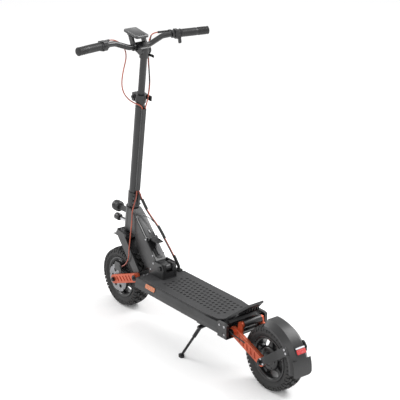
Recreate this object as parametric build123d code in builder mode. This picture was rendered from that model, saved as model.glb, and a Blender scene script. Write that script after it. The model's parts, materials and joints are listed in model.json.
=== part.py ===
from build123d import *
import math
import os

os.makedirs("parts", exist_ok=True)

# Frame: +X is the direction of travel, +Y is the rider's left, +Z is up.
# The origin lies on the ground, at the middle of the plan outline. Millimetres.

# ---------------------------------------------------------------- driving sizes
turn_gap = 0.3            # between faces of bodies that move past each other
shaft_gap = 0.05          # radial, round a shaft that turns or slides
seat_gap = 0.05           # round a piece seated in another of the same body

half_length = 620         # half of the overall length
tyre_radius = 127.5
tyre_half_width = 39.5
wheelbase = 954
rim_seat_radius = 84
rim_half_width = 31
hub_radius = 47
hub_half_width = 33
axle_radius = 6
rotor_radius = 60
rotor_y = 44
rotor_thickness = 2

rake = 8.4                # lean of the steering axis, degrees
trail = 12
front_arm_run = 160       # axle to pivot, along X
rear_arm_run = 160
arm_rise = 60             # axle up to pivot
arm_thickness = 14
arm_inner_y = 53
arm_end_radius = 19
arm_pocket_depth = 4
pivot_radius = 7

deck_bottom = 168
deck_rail_top = 213
deck_top = 220            # top of the rubber mat
deck_half_width = 102
deck_top_half_width = 94
deck_wall = 4
cover_thickness = 3
deck_length = 535.5

steerer_radius = 14.3
head_radius = 28
fork_leg_y = 43.5         # inner face of a fork leg
fork_leg_thickness = 8

outer_tube_radius = 20
sleeve_radius = 18
inner_tube_radius = 14
bar_radius = 11
bar_half_width = 307.5
grip_radius = 16
grip_length = 124
cable_radius = 2.5

# ---------------------------------------------------------------- places worked out
axle_z = tyre_radius
front_x = half_length - tyre_radius
rear_x = front_x - wheelbase
front_pivot_x = front_x - front_arm_run
rear_pivot_x = rear_x + rear_arm_run
pivot_z = axle_z + arm_rise
arm_outer_y = arm_inner_y + arm_thickness
fork_leg_outer_y = fork_leg_y + fork_leg_thickness
deck_front_x = front_pivot_x - 47
deck_rear_x = deck_front_x - deck_length
steer_foot_x = front_x + trail

# heights measured up the steering axis from the ground
crown_low = 333
crown_high = 353
head_low = crown_high + turn_gap + 2
head_high = 464
clamp_low = head_high + turn_gap + 5
clamp_high = 530
duct_low = 546
duct_high = 905
sleeve_low = 700
tube_high = 909
sleeve_high = 940
collar_low = 926
collar_high = 958
stem_head_low = 1112
bar_along = 1147.4        # height of the bar up the steering axis
bar_forward = 34          # bar centre in front of the steering axis

# fold hinge between the deck and the neck
hinge_x = deck_front_x - 82
hinge_z = deck_top + 42
neck_half_width = 27
knuckle_half_width = 14.5
hinge_pin_radius = 6


def steer_plane(along, forward=0.0):
    """Plane square to the steering axis; its x points forward."""
    lean = math.radians(rake)
    x = steer_foot_x - along * math.sin(lean) + forward * math.cos(lean)
    z = along * math.cos(lean) + forward * math.sin(lean)
    return Plane((x, 0, z), x_dir=(math.cos(lean), 0, math.sin(lean)),
                 z_dir=(-math.sin(lean), 0, math.cos(lean)))


def steer_xz(along, forward=0.0):
    """World x and z of a point beside the steering axis."""
    origin = steer_plane(along, forward).origin
    return (origin.X, origin.Z)


def side_plane(y, x=0.0, z=0.0):
    """Upright plane along the scooter, at y; a sketch on it extrudes towards -Y."""
    return Plane((x, y, z), x_dir=(1, 0, 0), z_dir=(0, -1, 0))


def steer_side(y):
    """As side_plane, with its y axis along the steering axis and its origin on the ground."""
    lean = math.radians(rake)
    return Plane((steer_foot_x, y, 0), x_dir=(math.cos(lean), 0, math.sin(lean)), z_dir=(0, -1, 0))


def wheel_plane(x):
    """Half-section plane of a wheel: local x is world y, local y is the radius."""
    return Plane((x, 0, axle_z), x_dir=(0, 1, 0), z_dir=(1, 0, 0))


def wheel_axis(x):
    return Axis((x, 0, axle_z), (0, 1, 0))


def finish(builder, name):
    builder.part.label = name
    export_step(builder.part, f"parts/{name}.step")


# ---------------------------------------------------------------- wheels
def make_tyre(name, x):
    shoulder = (tyre_half_width - 3, tyre_radius - 7)
    bead_y = rim_half_width - 4
    bead_top = rim_seat_radius + 6
    with BuildPart() as tyre:
        with BuildSketch(wheel_plane(x)):
            with BuildLine():
                crown = ThreePointArc((-shoulder[0], shoulder[1]), (0, tyre_radius), shoulder)
                wall = ThreePointArc(shoulder, (tyre_half_width, 106), (bead_y, bead_top))
                bead = Polyline(wall @ 1, (bead_y, rim_seat_radius), (-bead_y, rim_seat_radius), (-bead_y, bead_top))
                ThreePointArc(bead @ 1, (-tyre_half_width, 106), crown @ 0)
            make_face()
        revolve(axis=wheel_axis(x))
    finish(tyre, name)


def make_rim(name, x, spokes=5):
    barrel = 9
    with BuildPart() as rim:
        with BuildSketch(wheel_plane(x)):
            with Locations((0, rim_seat_radius - seat_gap - barrel / 2)):
                Rectangle(2 * rim_half_width, barrel)
            with Locations((rim_half_width - 1.5, rim_seat_radius), (1.5 - rim_half_width, rim_seat_radius)):
                Rectangle(3, 8)
        revolve(axis=wheel_axis(x))
        with BuildSketch(side_plane(hub_half_width, x, axle_z)):
            Circle(hub_radius)
        extrude(amount=2 * hub_half_width)
        with BuildSketch(side_plane(9, x, axle_z)):
            with PolarLocations((hub_radius + rim_seat_radius) / 2 - 4, spokes, start_angle=90):
                Rectangle(rim_seat_radius - hub_radius + 2, 21)
        extrude(amount=18)
        with BuildSketch(side_plane(hub_half_width, x, axle_z)):
            Circle(axle_radius + shaft_gap)
        extrude(amount=2 * hub_half_width, mode=Mode.SUBTRACT)
    finish(rim, name)


make_tyre("front_tyre", front_x)
make_tyre("rear_tyre", rear_x)
make_rim("front_rim", front_x)
make_rim("rear_rim", rear_x)

with BuildPart() as front_rotor:
    with BuildSketch(side_plane(rotor_y + rotor_thickness / 2, front_x, axle_z)):
        Circle(rotor_radius)
        Circle(22, mode=Mode.SUBTRACT)
        with PolarLocations(rotor_radius + 4, 8):
            Circle(8, mode=Mode.SUBTRACT)
        with PolarLocations(36, 6):
            Circle(9, mode=Mode.SUBTRACT)
    extrude(amount=rotor_thickness)
    with BuildSketch(side_plane(rotor_y - rotor_thickness / 2, front_x, axle_z)):
        Circle(27)
        Circle(15, mode=Mode.SUBTRACT)
    extrude(amount=rotor_y - rotor_thickness / 2 - hub_half_width)
finish(front_rotor, "front_rotor")


# ---------------------------------------------------------------- swing arms
def arm_outline(axle_xz, pivot_xz):
    """Bar of constant height from the axle to the pivot, rounded at both ends."""
    with Locations(axle_xz, pivot_xz):
        Circle(arm_end_radius)
    make_hull()


def make_arms(name, axle_x, pivot_x, pockets=5, tube_xz=None):
    """Both arms; with tube_xz they carry the lugs that hold a cross tube there."""
    run = pivot_x - axle_x
    angle = math.degrees(math.atan2(arm_rise, run))
    length = math.hypot(run, arm_rise)
    first = 34
    pitch = (length - first - 42) / (pockets - 1)
    with BuildPart() as arms:
        with BuildSketch(side_plane(arm_outer_y)):
            arm_outline((axle_x, axle_z), (pivot_x, pivot_z))
        extrude(amount=arm_thickness)
        with BuildSketch(side_plane(arm_outer_y)):
            for step in range(pockets):
                along = first + step * pitch
                x = axle_x + run * along / length
                z = axle_z + arm_rise * along / length
                with Locations(Location((x, z), angle)):
                    Polygon((-9, -11), (-1, -11), (9, 11), (1, 11))
        extrude(amount=arm_pocket_depth, mode=Mode.SUBTRACT)
        with BuildSketch(side_plane(arm_outer_y + 6)):
            with Locations((pivot_x, pivot_z)):
                Circle(arm_end_radius - 2)
        extrude(amount=6)
        if tube_xz:
            with BuildSketch(side_plane(arm_inner_y)):
                with Locations(tube_xz, (pivot_x - 25, pivot_z + 4)):
                    Circle(lug_radius)
                make_hull()
            extrude(amount=6)
            with BuildSketch(side_plane(arm_inner_y)):
                with Locations(tube_xz):
                    Circle(lug_radius)
            extrude(amount=arm_inner_y - tube_half_length)
        mirror(about=Plane.XZ)
        with BuildSketch(side_plane(arm_outer_y + 10)):
            with Locations((pivot_x, pivot_z)):
                Circle(pivot_radius + shaft_gap)
            with Locations((axle_x, axle_z)):
                Circle(axle_radius + seat_gap)
        extrude(amount=2 * (arm_outer_y + 10), mode=Mode.SUBTRACT)
    finish(arms, name)


# tube that ties the two rear arms together, behind and above their pivot
tube_spot = (rear_pivot_x - 26, pivot_z + 33)
tube_radius = 16
tube_half_length = 42
lug_radius = 12.5
make_arms("front_arms", front_x, front_pivot_x)
make_arms("rear_arms", rear_x, rear_pivot_x, tube_xz=tube_spot)

with BuildPart() as rear_cross_tube:
    tube_end = tube_half_length - seat_gap
    with BuildSketch(side_plane(tube_end, *tube_spot)):
        Circle(tube_radius)
        Circle(tube_radius - 5, mode=Mode.SUBTRACT)
    extrude(amount=2 * tube_end)
finish(rear_cross_tube, "rear_cross_tube")

# disc caliper over the top of the front rotor, with the plate that holds it to the arm
with BuildPart() as front_caliper:
    with BuildSketch(side_plane(arm_inner_y - 2, front_x, axle_z)):
        with BuildLine():
            Polyline((-32, 38), (-36, 62), (-22, 76), (8, 76), (16, 60), (12, 38), close=True)
        make_face()
    extrude(amount=14)
    fillet(front_caliper.edges().filter_by(Axis.Y), 4)
    with BuildSketch(side_plane(rotor_y + rotor_thickness / 2 + 1, front_x, axle_z)):
        Circle(rotor_radius + 2)
    extrude(amount=rotor_thickness + 2, mode=Mode.SUBTRACT)
    with BuildSketch(side_plane(arm_inner_y, front_x, axle_z)):
        with Locations((-22, 56), (-42, 16)):
            Circle(8)
        make_hull()
    extrude(amount=3)
finish(front_caliper, "front_caliper")


# ---------------------------------------------------------------- rear fender and tail light
fender_thickness = 3
fender_half_width = 44
fender_band = 22          # half width of the raised middle band
fender_drop = 20          # from the band down to the edge
fender_low_radius = 126
tail_x = -half_length
fender_x = rear_x - 3
fender_z = axle_z - 1
fender_radius = fender_x - tail_x
fender_start = 84         # degrees from +X
fender_end = 183
stay_thickness = 3
stay_y = arm_outer_y + 0.2
stay_bolt_y = fender_half_width + 0.2
stay_bolts = ((rear_x - 106, axle_z + 84), (rear_x - 114, axle_z + 74))
nut_y = stay_y + stay_thickness + 0.2


def around(x, z, radius, degrees):
    turn = math.radians(degrees)
    return (x + radius * math.cos(turn), z + radius * math.sin(turn))


with BuildPart() as rear_fender:
    edge = fender_radius - fender_drop
    wall = fender_thickness
    start = math.radians(fender_start)
    section_plane = Plane((fender_x, 0, fender_z), x_dir=(0, 1, 0), z_dir=(math.sin(start), 0, -math.cos(start)))
    with BuildSketch(section_plane):
        with BuildLine():
            Polyline(
                (fender_half_width, fender_low_radius), (fender_half_width, edge),
                (fender_band, fender_radius), (-fender_band, fender_radius),
                (-fender_half_width, edge), (-fender_half_width, fender_low_radius),
                (wall - fender_half_width, fender_low_radius), (wall - fender_half_width, edge - wall / 2),
                (1 - fender_band, fender_radius - wall), (fender_band - 1, fender_radius - wall),
                (fender_half_width - wall, edge - wall / 2), (fender_half_width - wall, fender_low_radius),
                close=True)
        make_face()
    revolve(axis=Axis((fender_x, 0, fender_z), (0, -1, 0)), revolution_arc=fender_end - fender_start)
    for y in (fender_half_width, wall - fender_half_width):
        with BuildSketch(side_plane(y)):
            with Locations(*stay_bolts, around(fender_x, fender_z, fender_low_radius + 8, 150)):
                Circle(9)
            make_hull()
        extrude(amount=wall)
finish(rear_fender, "rear_fender")

with BuildPart() as fender_stays:
    with BuildSketch():
        with BuildLine():
            Polyline(
                (rear_x + 30, stay_y), (rear_x - 26, stay_y), (rear_x - 62, stay_bolt_y),
                (rear_x - 130, stay_bolt_y), (rear_x - 130, stay_bolt_y + stay_thickness),
                (rear_x - 61, stay_bolt_y + stay_thickness), (rear_x - 25, stay_y + stay_thickness),
                (rear_x + 30, stay_y + stay_thickness), close=True)
        make_face()
    extrude(amount=400)
    with BuildSketch(side_plane(100)):
        with Locations((rear_x, axle_z), (rear_x - 16, axle_z + 4), *stay_bolts):
            Circle(11)
        make_hull()
        with Locations((rear_x, axle_z), (rear_x - 14, axle_z + 4)):
            Circle(13)
        with Locations((rear_x, axle_z)):
            Circle(axle_radius + seat_gap, mode=Mode.SUBTRACT)
    extrude(amount=100, mode=Mode.INTERSECT)
    mirror(about=Plane.XZ)
finish(fender_stays, "fender_stays")

light_angle = 149
light_size = (42, 28)
light_centre = around(fender_x, fender_z, fender_radius, light_angle)
light_turn = math.radians(light_angle)
light_out = (math.cos(light_turn), 0, math.sin(light_turn))
with BuildPart() as tail_light:
    with BuildSketch(Plane((light_centre[0], 0, light_centre[1]), x_dir=(0, 1, 0), z_dir=light_out).offset(1.2)):
        RectangleRounded(*light_size, 4)
    extrude(amount=9)
    fillet(tail_light.faces().sort_by(Axis.X)[0].edges(), 1.5)
    with BuildSketch(Plane((light_centre[0], 0, light_centre[1]), x_dir=(0, 1, 0), z_dir=light_out).offset(0.2)):
        Rectangle(light_size[0] - 10, light_size[1] - 12)
    extrude(amount=1)
finish(tail_light, "tail_light")


# ---------------------------------------------------------------- axles and pivots
def make_axle(name, x, outer):
    with BuildPart() as axle:
        with BuildSketch(side_plane(outer + 9, x, axle_z)):
            Circle(axle_radius)
        extrude(amount=2 * (outer + 9))
        for y in (outer + 6, -outer):
            with BuildSketch(side_plane(y, x, axle_z)):
                RegularPolygon(10, 6)
            extrude(amount=6)
    finish(axle, name)


make_axle("front_axle", front_x, arm_outer_y + 0.2)
make_axle("rear_axle", rear_x, nut_y)


def make_pivot(name, x):
    """Pivot bolt through both arms, with a shallow domed cap at each end."""
    cap_y = arm_outer_y + 6 + turn_gap
    with BuildPart() as pivot:
        with BuildSketch(side_plane(cap_y, x, pivot_z)):
            Circle(pivot_radius)
        extrude(amount=2 * cap_y)
        for y in (cap_y + 3, -cap_y):
            with BuildSketch(side_plane(y, x, pivot_z)):
                Circle(arm_end_radius - 6)
            extrude(amount=3)
    finish(pivot, name)


make_pivot("front_pivot_bolt", front_pivot_x)
make_pivot("rear_pivot_bolt", rear_pivot_x)

# rubber-lined torsion unit between the fork legs that springs the front arms
unit_radius = 17
with BuildPart() as front_torsion_unit:
    with BuildSketch(side_plane(fork_leg_y - seat_gap, front_pivot_x, pivot_z)):
        Circle(unit_radius)
        Circle(pivot_radius + seat_gap, mode=Mode.SUBTRACT)
    extrude(amount=2 * (fork_leg_y - seat_gap))
    chamfer(front_torsion_unit.edges().filter_by(GeomType.CIRCLE).group_by(SortBy.RADIUS)[-1], 1.5)
finish(front_torsion_unit, "front_torsion_unit")

# ---------------------------------------------------------------- fork and front fender
with BuildPart() as fork:
    crown_front = steer_xz(crown_low + 6, 24)
    crown_back = steer_xz(crown_low + 6, -20)
    for y in (fork_leg_outer_y, -fork_leg_y):
        with BuildSketch(side_plane(y)):
            with Locations(crown_front, crown_back):
                Circle(9)
            with Locations((front_pivot_x, pivot_z)):
                Circle(arm_end_radius + 1)
            make_hull()
            with Locations((front_pivot_x, pivot_z)):
                Circle(pivot_radius + seat_gap, mode=Mode.SUBTRACT)
        extrude(amount=fork_leg_thickness)
    with BuildSketch(steer_plane(crown_low)):
        RectangleRounded(66, 2 * fork_leg_outer_y, 8)
    extrude(amount=crown_high - crown_low)
    with BuildSketch(steer_plane(crown_high)):
        Circle(steerer_radius)
    extrude(amount=clamp_high - crown_high)
finish(fork, "fork")

front_fender_x = front_x - 6
front_fender_z = axle_z + 22
front_fender_radius = 171
front_fender_half_width = 40
front_fender_start = 66
front_fender_end = 133
with BuildPart() as front_fender:
    inner_radius = front_fender_radius - 2.5
    with BuildSketch(side_plane(front_fender_half_width)):
        with BuildLine():
            top = ThreePointArc(
                *[around(front_fender_x, front_fender_z, front_fender_radius, a)
                  for a in (front_fender_start, 110, front_fender_end)])
            low = ThreePointArc(
                *[around(front_fender_x, front_fender_z, inner_radius, a)
                  for a in (front_fender_end, 110, front_fender_start)])
            Line(top @ 1, low @ 0)
            Line(low @ 1, top @ 0)
        make_face()
    extrude(amount=2 * front_fender_half_width)
    with BuildSketch():
        with BuildLine():
            nose = front_fender_x + 80
            Polyline(
                (front_fender_x - 200, 40), (front_fender_x + 20, 40), (nose, 22), (nose, -22),
                (front_fender_x + 20, -40), (front_fender_x - 200, -40), close=True)
        make_face()
    extrude(amount=500, mode=Mode.INTERSECT)
    # boss that hangs the fender from the underside of the fork's crown
    with BuildSketch(steer_plane(crown_low - seat_gap)):
        RectangleRounded(30, 34, 4)
    extrude(amount=-16)
finish(front_fender, "front_fender")

# ---------------------------------------------------------------- stem, fixed part
with BuildPart() as stem_clamp:
    with BuildSketch(steer_plane(clamp_low)):
        Circle(23)
        with Locations((-17, 0)):
            RectangleRounded(22, 32, 4)
        Circle(steerer_radius + seat_gap, mode=Mode.SUBTRACT)
        with Locations((-24, 0)):
            Rectangle(24, 3, mode=Mode.SUBTRACT)
    extrude(amount=clamp_high - clamp_low)
finish(stem_clamp, "stem_clamp")

bolt_heights = (478, 498, 518)
with BuildPart() as stem_clamp_bolts:
    for along in bolt_heights:
        for forward, side in ((-22, 1), (-22, -1)):
            bolt_plane = steer_side(side * 16.2)
            with BuildSketch(bolt_plane):
                with Locations((forward, along)):
                    Circle(4.4)
                    RegularPolygon(2.4, 6, mode=Mode.SUBTRACT)
            extrude(amount=-4 * side)
finish(stem_clamp_bolts, "stem_clamp_bolts")

duct_back = -31
duct_front = -18
duct_middle = -25
duct_half_width = 10
with BuildPart() as stem_outer:
    with BuildSketch(steer_plane(clamp_high + seat_gap)):
        Circle(outer_tube_radius)
    extrude(amount=tube_high - clamp_high - seat_gap)
    with BuildSketch(steer_plane(duct_low)):
        with Locations(((duct_back + duct_front) / 2, 0)):
            RectangleRounded(duct_front - duct_back, 2 * duct_half_width, 3)
    extrude(amount=duct_high - duct_low)
    with BuildSketch(steer_plane(duct_low)):
        with Locations((duct_middle, 0)):
            Rectangle(8.5, 2 * duct_half_width - 3.4)
    extrude(amount=duct_high - duct_low, mode=Mode.SUBTRACT)
    with BuildSketch(steer_plane(clamp_high + seat_gap)):
        Circle(sleeve_radius)
    extrude(amount=sleeve_low - clamp_high, mode=Mode.SUBTRACT)
    # the sleeve that guides the inner tube stands out of the top of the outer tube
    with BuildSketch(steer_plane(sleeve_low)):
        Circle(sleeve_radius)
    extrude(amount=sleeve_high - sleeve_low)
    with BuildSketch(steer_plane(sleeve_low)):
        Circle(inner_tube_radius + shaft_gap)
    extrude(amount=sleeve_high - sleeve_low, mode=Mode.SUBTRACT)
finish(stem_outer, "stem_outer")

# collar clamp, split in front, with the nut of its cross bolt at the left
lever_forward = 24
lever_side = -29
lever_low = collar_low + 6
lever_height = 20
lever_pin_radius = 2
tab_height = 3
ear = (18, 44)
with BuildPart() as stem_collar:
    for low, high, bore in ((collar_low, sleeve_high, sleeve_radius + seat_gap),
                            (sleeve_high, collar_high, inner_tube_radius + turn_gap)):
        with BuildSketch(steer_plane(low)):
            Circle(22.5)
            with Locations((lever_forward, 0)):
                RectangleRounded(*ear, 3)
            Circle(bore, mode=Mode.SUBTRACT)
            with Locations((lever_forward, 0)):
                Rectangle(24, 3, mode=Mode.SUBTRACT)
        extrude(amount=high - low)
    with BuildSketch(steer_side(27)):
        with Locations((lever_forward, (collar_low + collar_high) / 2)):
            Circle(6)
    extrude(amount=5.2)
    # tabs above and below the lever, and the pin that the lever hinges on
    for low in (lever_low - turn_gap - tab_height, lever_low + lever_height + turn_gap):
        with BuildSketch(steer_plane(low)):
            with Locations((lever_forward, lever_side), (lever_forward, -18)):
                Circle(4)
            make_hull()
        extrude(amount=tab_height)
    with BuildSketch(steer_plane(lever_low - 2)):
        with Locations((lever_forward, lever_side)):
            Circle(lever_pin_radius)
    extrude(amount=lever_height + 4)
finish(stem_collar, "stem_collar")

# quick-release lever of the collar: hinged along the stem at its right, folded back round the side
with BuildPart() as collar_lever:
    with BuildSketch(steer_plane(lever_low)):
        with Locations((lever_forward, lever_side)):
            Circle(6.4)
        with BuildLine():
            Polyline(
                (lever_forward, lever_side - 6), (0, -33), (-24, -35), (-30, -32),
                (-24, -29), (0, -27), (lever_forward - 2, lever_side + 5), close=True)
        make_face()
        with Locations((lever_forward, lever_side)):
            Circle(lever_pin_radius + shaft_gap, mode=Mode.SUBTRACT)
    extrude(amount=lever_height)
finish(collar_lever, "collar_lever")

# ---------------------------------------------------------------- stem, sliding part and bar
inner_low = 690
inner_high = stem_head_low + 24
head_sleeve_radius = 18.5
bar_lever_along = stem_head_low + 3
bar_lever_height = 9
bar_lever_spot = (4, -23.5)
bar_lever_pin = 1.6
with BuildPart() as stem_inner:
    with BuildSketch(steer_plane(inner_low)):
        Circle(inner_tube_radius)
        Circle(inner_tube_radius - 2.5, mode=Mode.SUBTRACT)
    extrude(amount=inner_high - inner_low)
finish(stem_inner, "stem_inner")

with BuildPart() as stem_head:
    with BuildSketch(steer_plane(stem_head_low)):
        Circle(head_sleeve_radius)
    extrude(amount=40)
    with BuildSketch(steer_side(23)):
        with Locations((2, bar_along - 5)):
            Circle(16.5)
    extrude(amount=46)
    with BuildSketch(steer_side(20)):
        with Locations((2, bar_along - 5), (bar_forward, bar_along)):
            Circle(bar_radius + 6)
        make_hull()
    extrude(amount=40)
    with BuildSketch(steer_side(30)):
        with Locations((bar_forward, bar_along)):
            Circle(bar_radius + seat_gap)
    extrude(amount=60, mode=Mode.SUBTRACT)
    with BuildSketch(steer_plane(stem_head_low)):
        Circle(inner_tube_radius + seat_gap)
    extrude(amount=inner_high - stem_head_low + 0.2, mode=Mode.SUBTRACT)
    with BuildSketch(steer_plane(stem_head_low)):
        with Locations(bar_lever_spot, (2, -17.5)):
            Circle(3)
        make_hull()
    extrude(amount=bar_lever_along - turn_gap - stem_head_low)
    with BuildSketch(steer_plane(stem_head_low)):
        with Locations(bar_lever_spot):
            Circle(bar_lever_pin)
    extrude(amount=bar_along - stem_head_low - 15)
finish(stem_head, "stem_head")

# gull-wing bar: level middle, rising shoulders, then grips swept back
bar_x, bar_z = steer_xz(bar_along, bar_forward)
bend_y = 152
bar_bend = Vector(bar_x - 3, bend_y, bar_z + 27)
bar_tip = Vector(bar_x - 40, bar_half_width - 3, bar_z + 29)
bar_out = (bar_tip - bar_bend).normalized()
straight = (bar_tip - bar_bend).length
half_bar = [(bar_x, 48, bar_z), (bar_x + 3, 112, bar_z + 24), tuple(bar_bend), tuple(bar_tip)]
with BuildPart() as handlebar:
    with BuildLine() as bar_line:
        FilletPolyline(*reversed(half_bar), *[(x, -y, z) for x, y, z in half_bar], radius=40)
    with BuildSketch(Plane(origin=bar_line.line @ 0, z_dir=bar_line.line % 0)):
        Circle(bar_radius)
        Circle(bar_radius - 2.2, mode=Mode.SUBTRACT)
    sweep(path=bar_line.line)
finish(handlebar, "handlebar")


def bar_plane(along, side=1):
    """Plane square to the outer bar; local x is up, and local y is forward on the left side."""
    origin = bar_bend + bar_out * along
    return Plane((origin.X, side * origin.Y, origin.Z), x_dir=(0, 0, 1),
                 z_dir=(bar_out.X, side * bar_out.Y, bar_out.Z))


grip_start = straight + 3 - grip_length
with BuildPart() as grips:
    with BuildSketch(bar_plane(grip_start)):
        Circle(grip_radius)
        Circle(bar_radius + seat_gap, mode=Mode.SUBTRACT)
    extrude(amount=grip_length - 3)
    with BuildSketch(bar_plane(straight)):
        Circle(grip_radius)
    extrude(amount=3)
    with BuildSketch(bar_plane(grip_start)):
        Circle(grip_radius + 2.5)
        Circle(bar_radius + seat_gap, mode=Mode.SUBTRACT)
    extrude(amount=4)
    mirror(about=Plane.XZ)
finish(grips, "grips")

# display: a thin slab tilted towards the rider, on a bracket clamped to the bar
display_tilt = 10
display_centre = (bar_x + 22, 0, bar_z + 42)
display_turn = math.radians(display_tilt)
display_plane = Plane(display_centre, x_dir=(math.cos(display_turn), 0, math.sin(display_turn)),
                      z_dir=(-math.sin(display_turn), 0, math.cos(display_turn)))
display_size = (92, 60, 11)
with BuildPart() as display:
    with BuildSketch(display_plane):
        RectangleRounded(display_size[0], display_size[1], 7)
    extrude(amount=display_size[2])
    chamfer(display.faces().sort_by(Axis.Z)[-1].edges(), 1.5)
finish(display, "display")

# ---------------------------------------------------------------- controls on the bar
perch_start = 1
perch_width = 11
perch_forward = 32
barrel_inner = -44
barrel_up = 5.2
pod_start = 13
pod_end_left = grip_start - 0.5
pod_end_right = 25
pod_size = (38, 34)
button_radius = 3.6
button_places = (19.5, 28.5)
button_travel = 1.5


def perch_plane(height, side=1):
    """Plane square to up at the bar's bend; local x runs out along the bar."""
    return Plane((bar_bend.X, side * bar_bend.Y, bar_bend.Z + height),
                 x_dir=(bar_out.X, side * bar_out.Y, 0), z_dir=(0, 0, 1))


def lever_points(side, points):
    """Points given as (out along the bar, forward), for either side."""
    return [(out, -side * ahead) for out, ahead in points]


with BuildPart() as bar_clamps:
    # bracket under the display
    for y in (32, -23.2):
        with BuildSketch(side_plane(y)):
            with Locations((bar_x, bar_z)):
                Circle(bar_radius + 5)
            with BuildLine():
                Polyline(
                    (bar_x - 9, bar_z + 10), (bar_x + 4, bar_z + 36.5), (bar_x + 30, bar_z + 41),
                    (bar_x + 14, bar_z + 4), close=True)
            make_face()
            with Locations((bar_x, bar_z)):
                Circle(bar_radius + seat_gap, mode=Mode.SUBTRACT)
        extrude(amount=8.8)
    with BuildSketch(display_plane.offset(-4)):
        RectangleRounded(46, 56, 4)
    extrude(amount=3.95)
    for side, pod_end in ((1, pod_end_left), (-1, pod_end_right)):
        with BuildSketch(bar_plane(perch_start, side)):
            Circle(bar_radius + 5)
            with Locations((5, side * 20)):
                Rectangle(8.6, 26)
            Circle(bar_radius + seat_gap, mode=Mode.SUBTRACT)
        extrude(amount=perch_width)
        with BuildSketch(perch_plane(0, side)):
            with Locations(lever_points(side, [(perch_start + 6, perch_forward)])[0]):
                Circle(7)
        extrude(amount=10.5)
        with BuildSketch(bar_plane(barrel_inner, side)):
            with Locations((barrel_up, side * perch_forward)):
                Circle(4.7)
        extrude(amount=perch_start - barrel_inner + 4)
        with BuildSketch(bar_plane(pod_start, side)):
            with Locations((0, -side * 1)):
                RectangleRounded(*pod_size, 8)
            Circle(bar_radius + seat_gap, mode=Mode.SUBTRACT)
        extrude(amount=pod_end - pod_start)
        with BuildSketch(perch_plane(-20, side)):
            with Locations(lever_points(side, [(perch_start + 6, perch_forward)])[0]):
                Circle(3 + shaft_gap)
        extrude(amount=26, mode=Mode.SUBTRACT)
    for place in button_places:
        spot = bar_plane(place)
        rear = Plane(spot.origin - spot.y_dir * 19, x_dir=spot.z_dir, z_dir=spot.y_dir)
        with BuildSketch(rear):
            Circle(button_radius + 0.2)
        extrude(amount=5.5 + button_travel, mode=Mode.SUBTRACT)
finish(bar_clamps, "bar_clamps")


def make_button(name, place):
    spot = bar_plane(place)
    rear = Plane(spot.origin - spot.y_dir * 20.5, x_dir=spot.z_dir, z_dir=spot.y_dir)
    with BuildPart() as button:
        with BuildSketch(rear):
            Circle(button_radius)
        extrude(amount=5)
        fillet(button.edges().filter_by(GeomType.CIRCLE).sort_by(Axis.X)[0], 1)
    finish(button, name)


make_button("light_button", button_places[0])
make_button("horn_button", button_places[1])


def make_brake_lever(name, side):
    root = (perch_start + 6, perch_forward)
    with BuildPart() as lever:
        with BuildSketch(perch_plane(-9, side)):
            with BuildLine():
                Polyline(*lever_points(side, [
                    (root[0] - 4, root[1] + 7), (24, 56), (60, 58), (104, 52), (110, 47),
                    (104, 44), (60, 49), (28, 47), (root[0] + 5, root[1] - 6)]), close=True)
            make_face()
            with Locations(lever_points(side, [root])[0]):
                Circle(7)
        extrude(amount=9 - turn_gap)
        with BuildSketch(perch_plane(-turn_gap, side)):
            with Locations(lever_points(side, [root])[0]):
                Circle(3)
        extrude(amount=5)
    finish(lever, name)


make_brake_lever("brake_lever_left", 1)
make_brake_lever("brake_lever_right", -1)

# thumb throttle: a ring that turns on the bar beside the right pod, with a paddle under it
with BuildPart() as throttle:
    with BuildSketch(bar_plane(pod_end_right + turn_gap, -1)):
        Circle(bar_radius + 5.5)
        with BuildLine():
            Polyline((-4, 14), (-30, 20), (-37, 17), (-38, 12), (-30, 8), (-12, 2), close=True)
        make_face()
        Circle(bar_radius + shaft_gap, mode=Mode.SUBTRACT)
    extrude(amount=grip_start - 2 * turn_gap - pod_end_right)
finish(throttle, "throttle")

# small clamp lever at the right of the stem head
with BuildPart() as bar_lever:
    with BuildSketch(steer_plane(bar_lever_along)):
        with Locations(bar_lever_spot):
            Circle(4.2)
        with BuildLine():
            Polyline((4, -27.5), (-14, -31), (-26, -30), (-26, -27), (-14, -26), (1, -20.5), close=True)
        make_face()
        with Locations(bar_lever_spot):
            Circle(bar_lever_pin + shaft_gap, mode=Mode.SUBTRACT)
    extrude(amount=bar_lever_height)
finish(bar_lever, "bar_lever")

# ---------------------------------------------------------------- deck
rail_low = 174
rail_mid = (100.4, 190)
cover_top = deck_rail_top + cover_thickness
closing_wall = 4


def deck_section(inset=0.0, top=deck_rail_top):
    """Half outline of the deck tray, mirrored; local x is world y and local y is height."""
    foot = deck_bottom + inset
    points = [(deck_half_width - 7 - inset, foot), (deck_half_width - inset, rail_low),
              (rail_mid[0] - inset, rail_mid[1]), (deck_top_half_width + 0.6 - inset, top)]
    Polyline(*points, *[(-y, z) for y, z in reversed(points)], close=True)


def across(x):
    """Plane across the scooter at x; a sketch on it extrudes towards +X."""
    return Plane((x, 0, 0), x_dir=(0, 1, 0), z_dir=(1, 0, 0))


with BuildPart() as deck_frame:
    with BuildSketch(across(deck_rear_x)):
        with BuildLine():
            deck_section()
        make_face()
    extrude(amount=deck_length)
    with BuildSketch(across(deck_rear_x - 1)):
        with BuildLine():
            deck_section(deck_wall)
        make_face()
    extrude(amount=deck_length + 1 - closing_wall, mode=Mode.SUBTRACT)
    # ledges that the cover is screwed to
    for y in (84, -90.4):
        with BuildSketch(Plane.XY.offset(deck_rail_top - 6)):
            with Locations(((deck_rear_x + deck_front_x) / 2, y + 3.2)):
                Rectangle(deck_length, 6.4)
        extrude(amount=6)
finish(deck_frame, "deck_frame")


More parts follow.
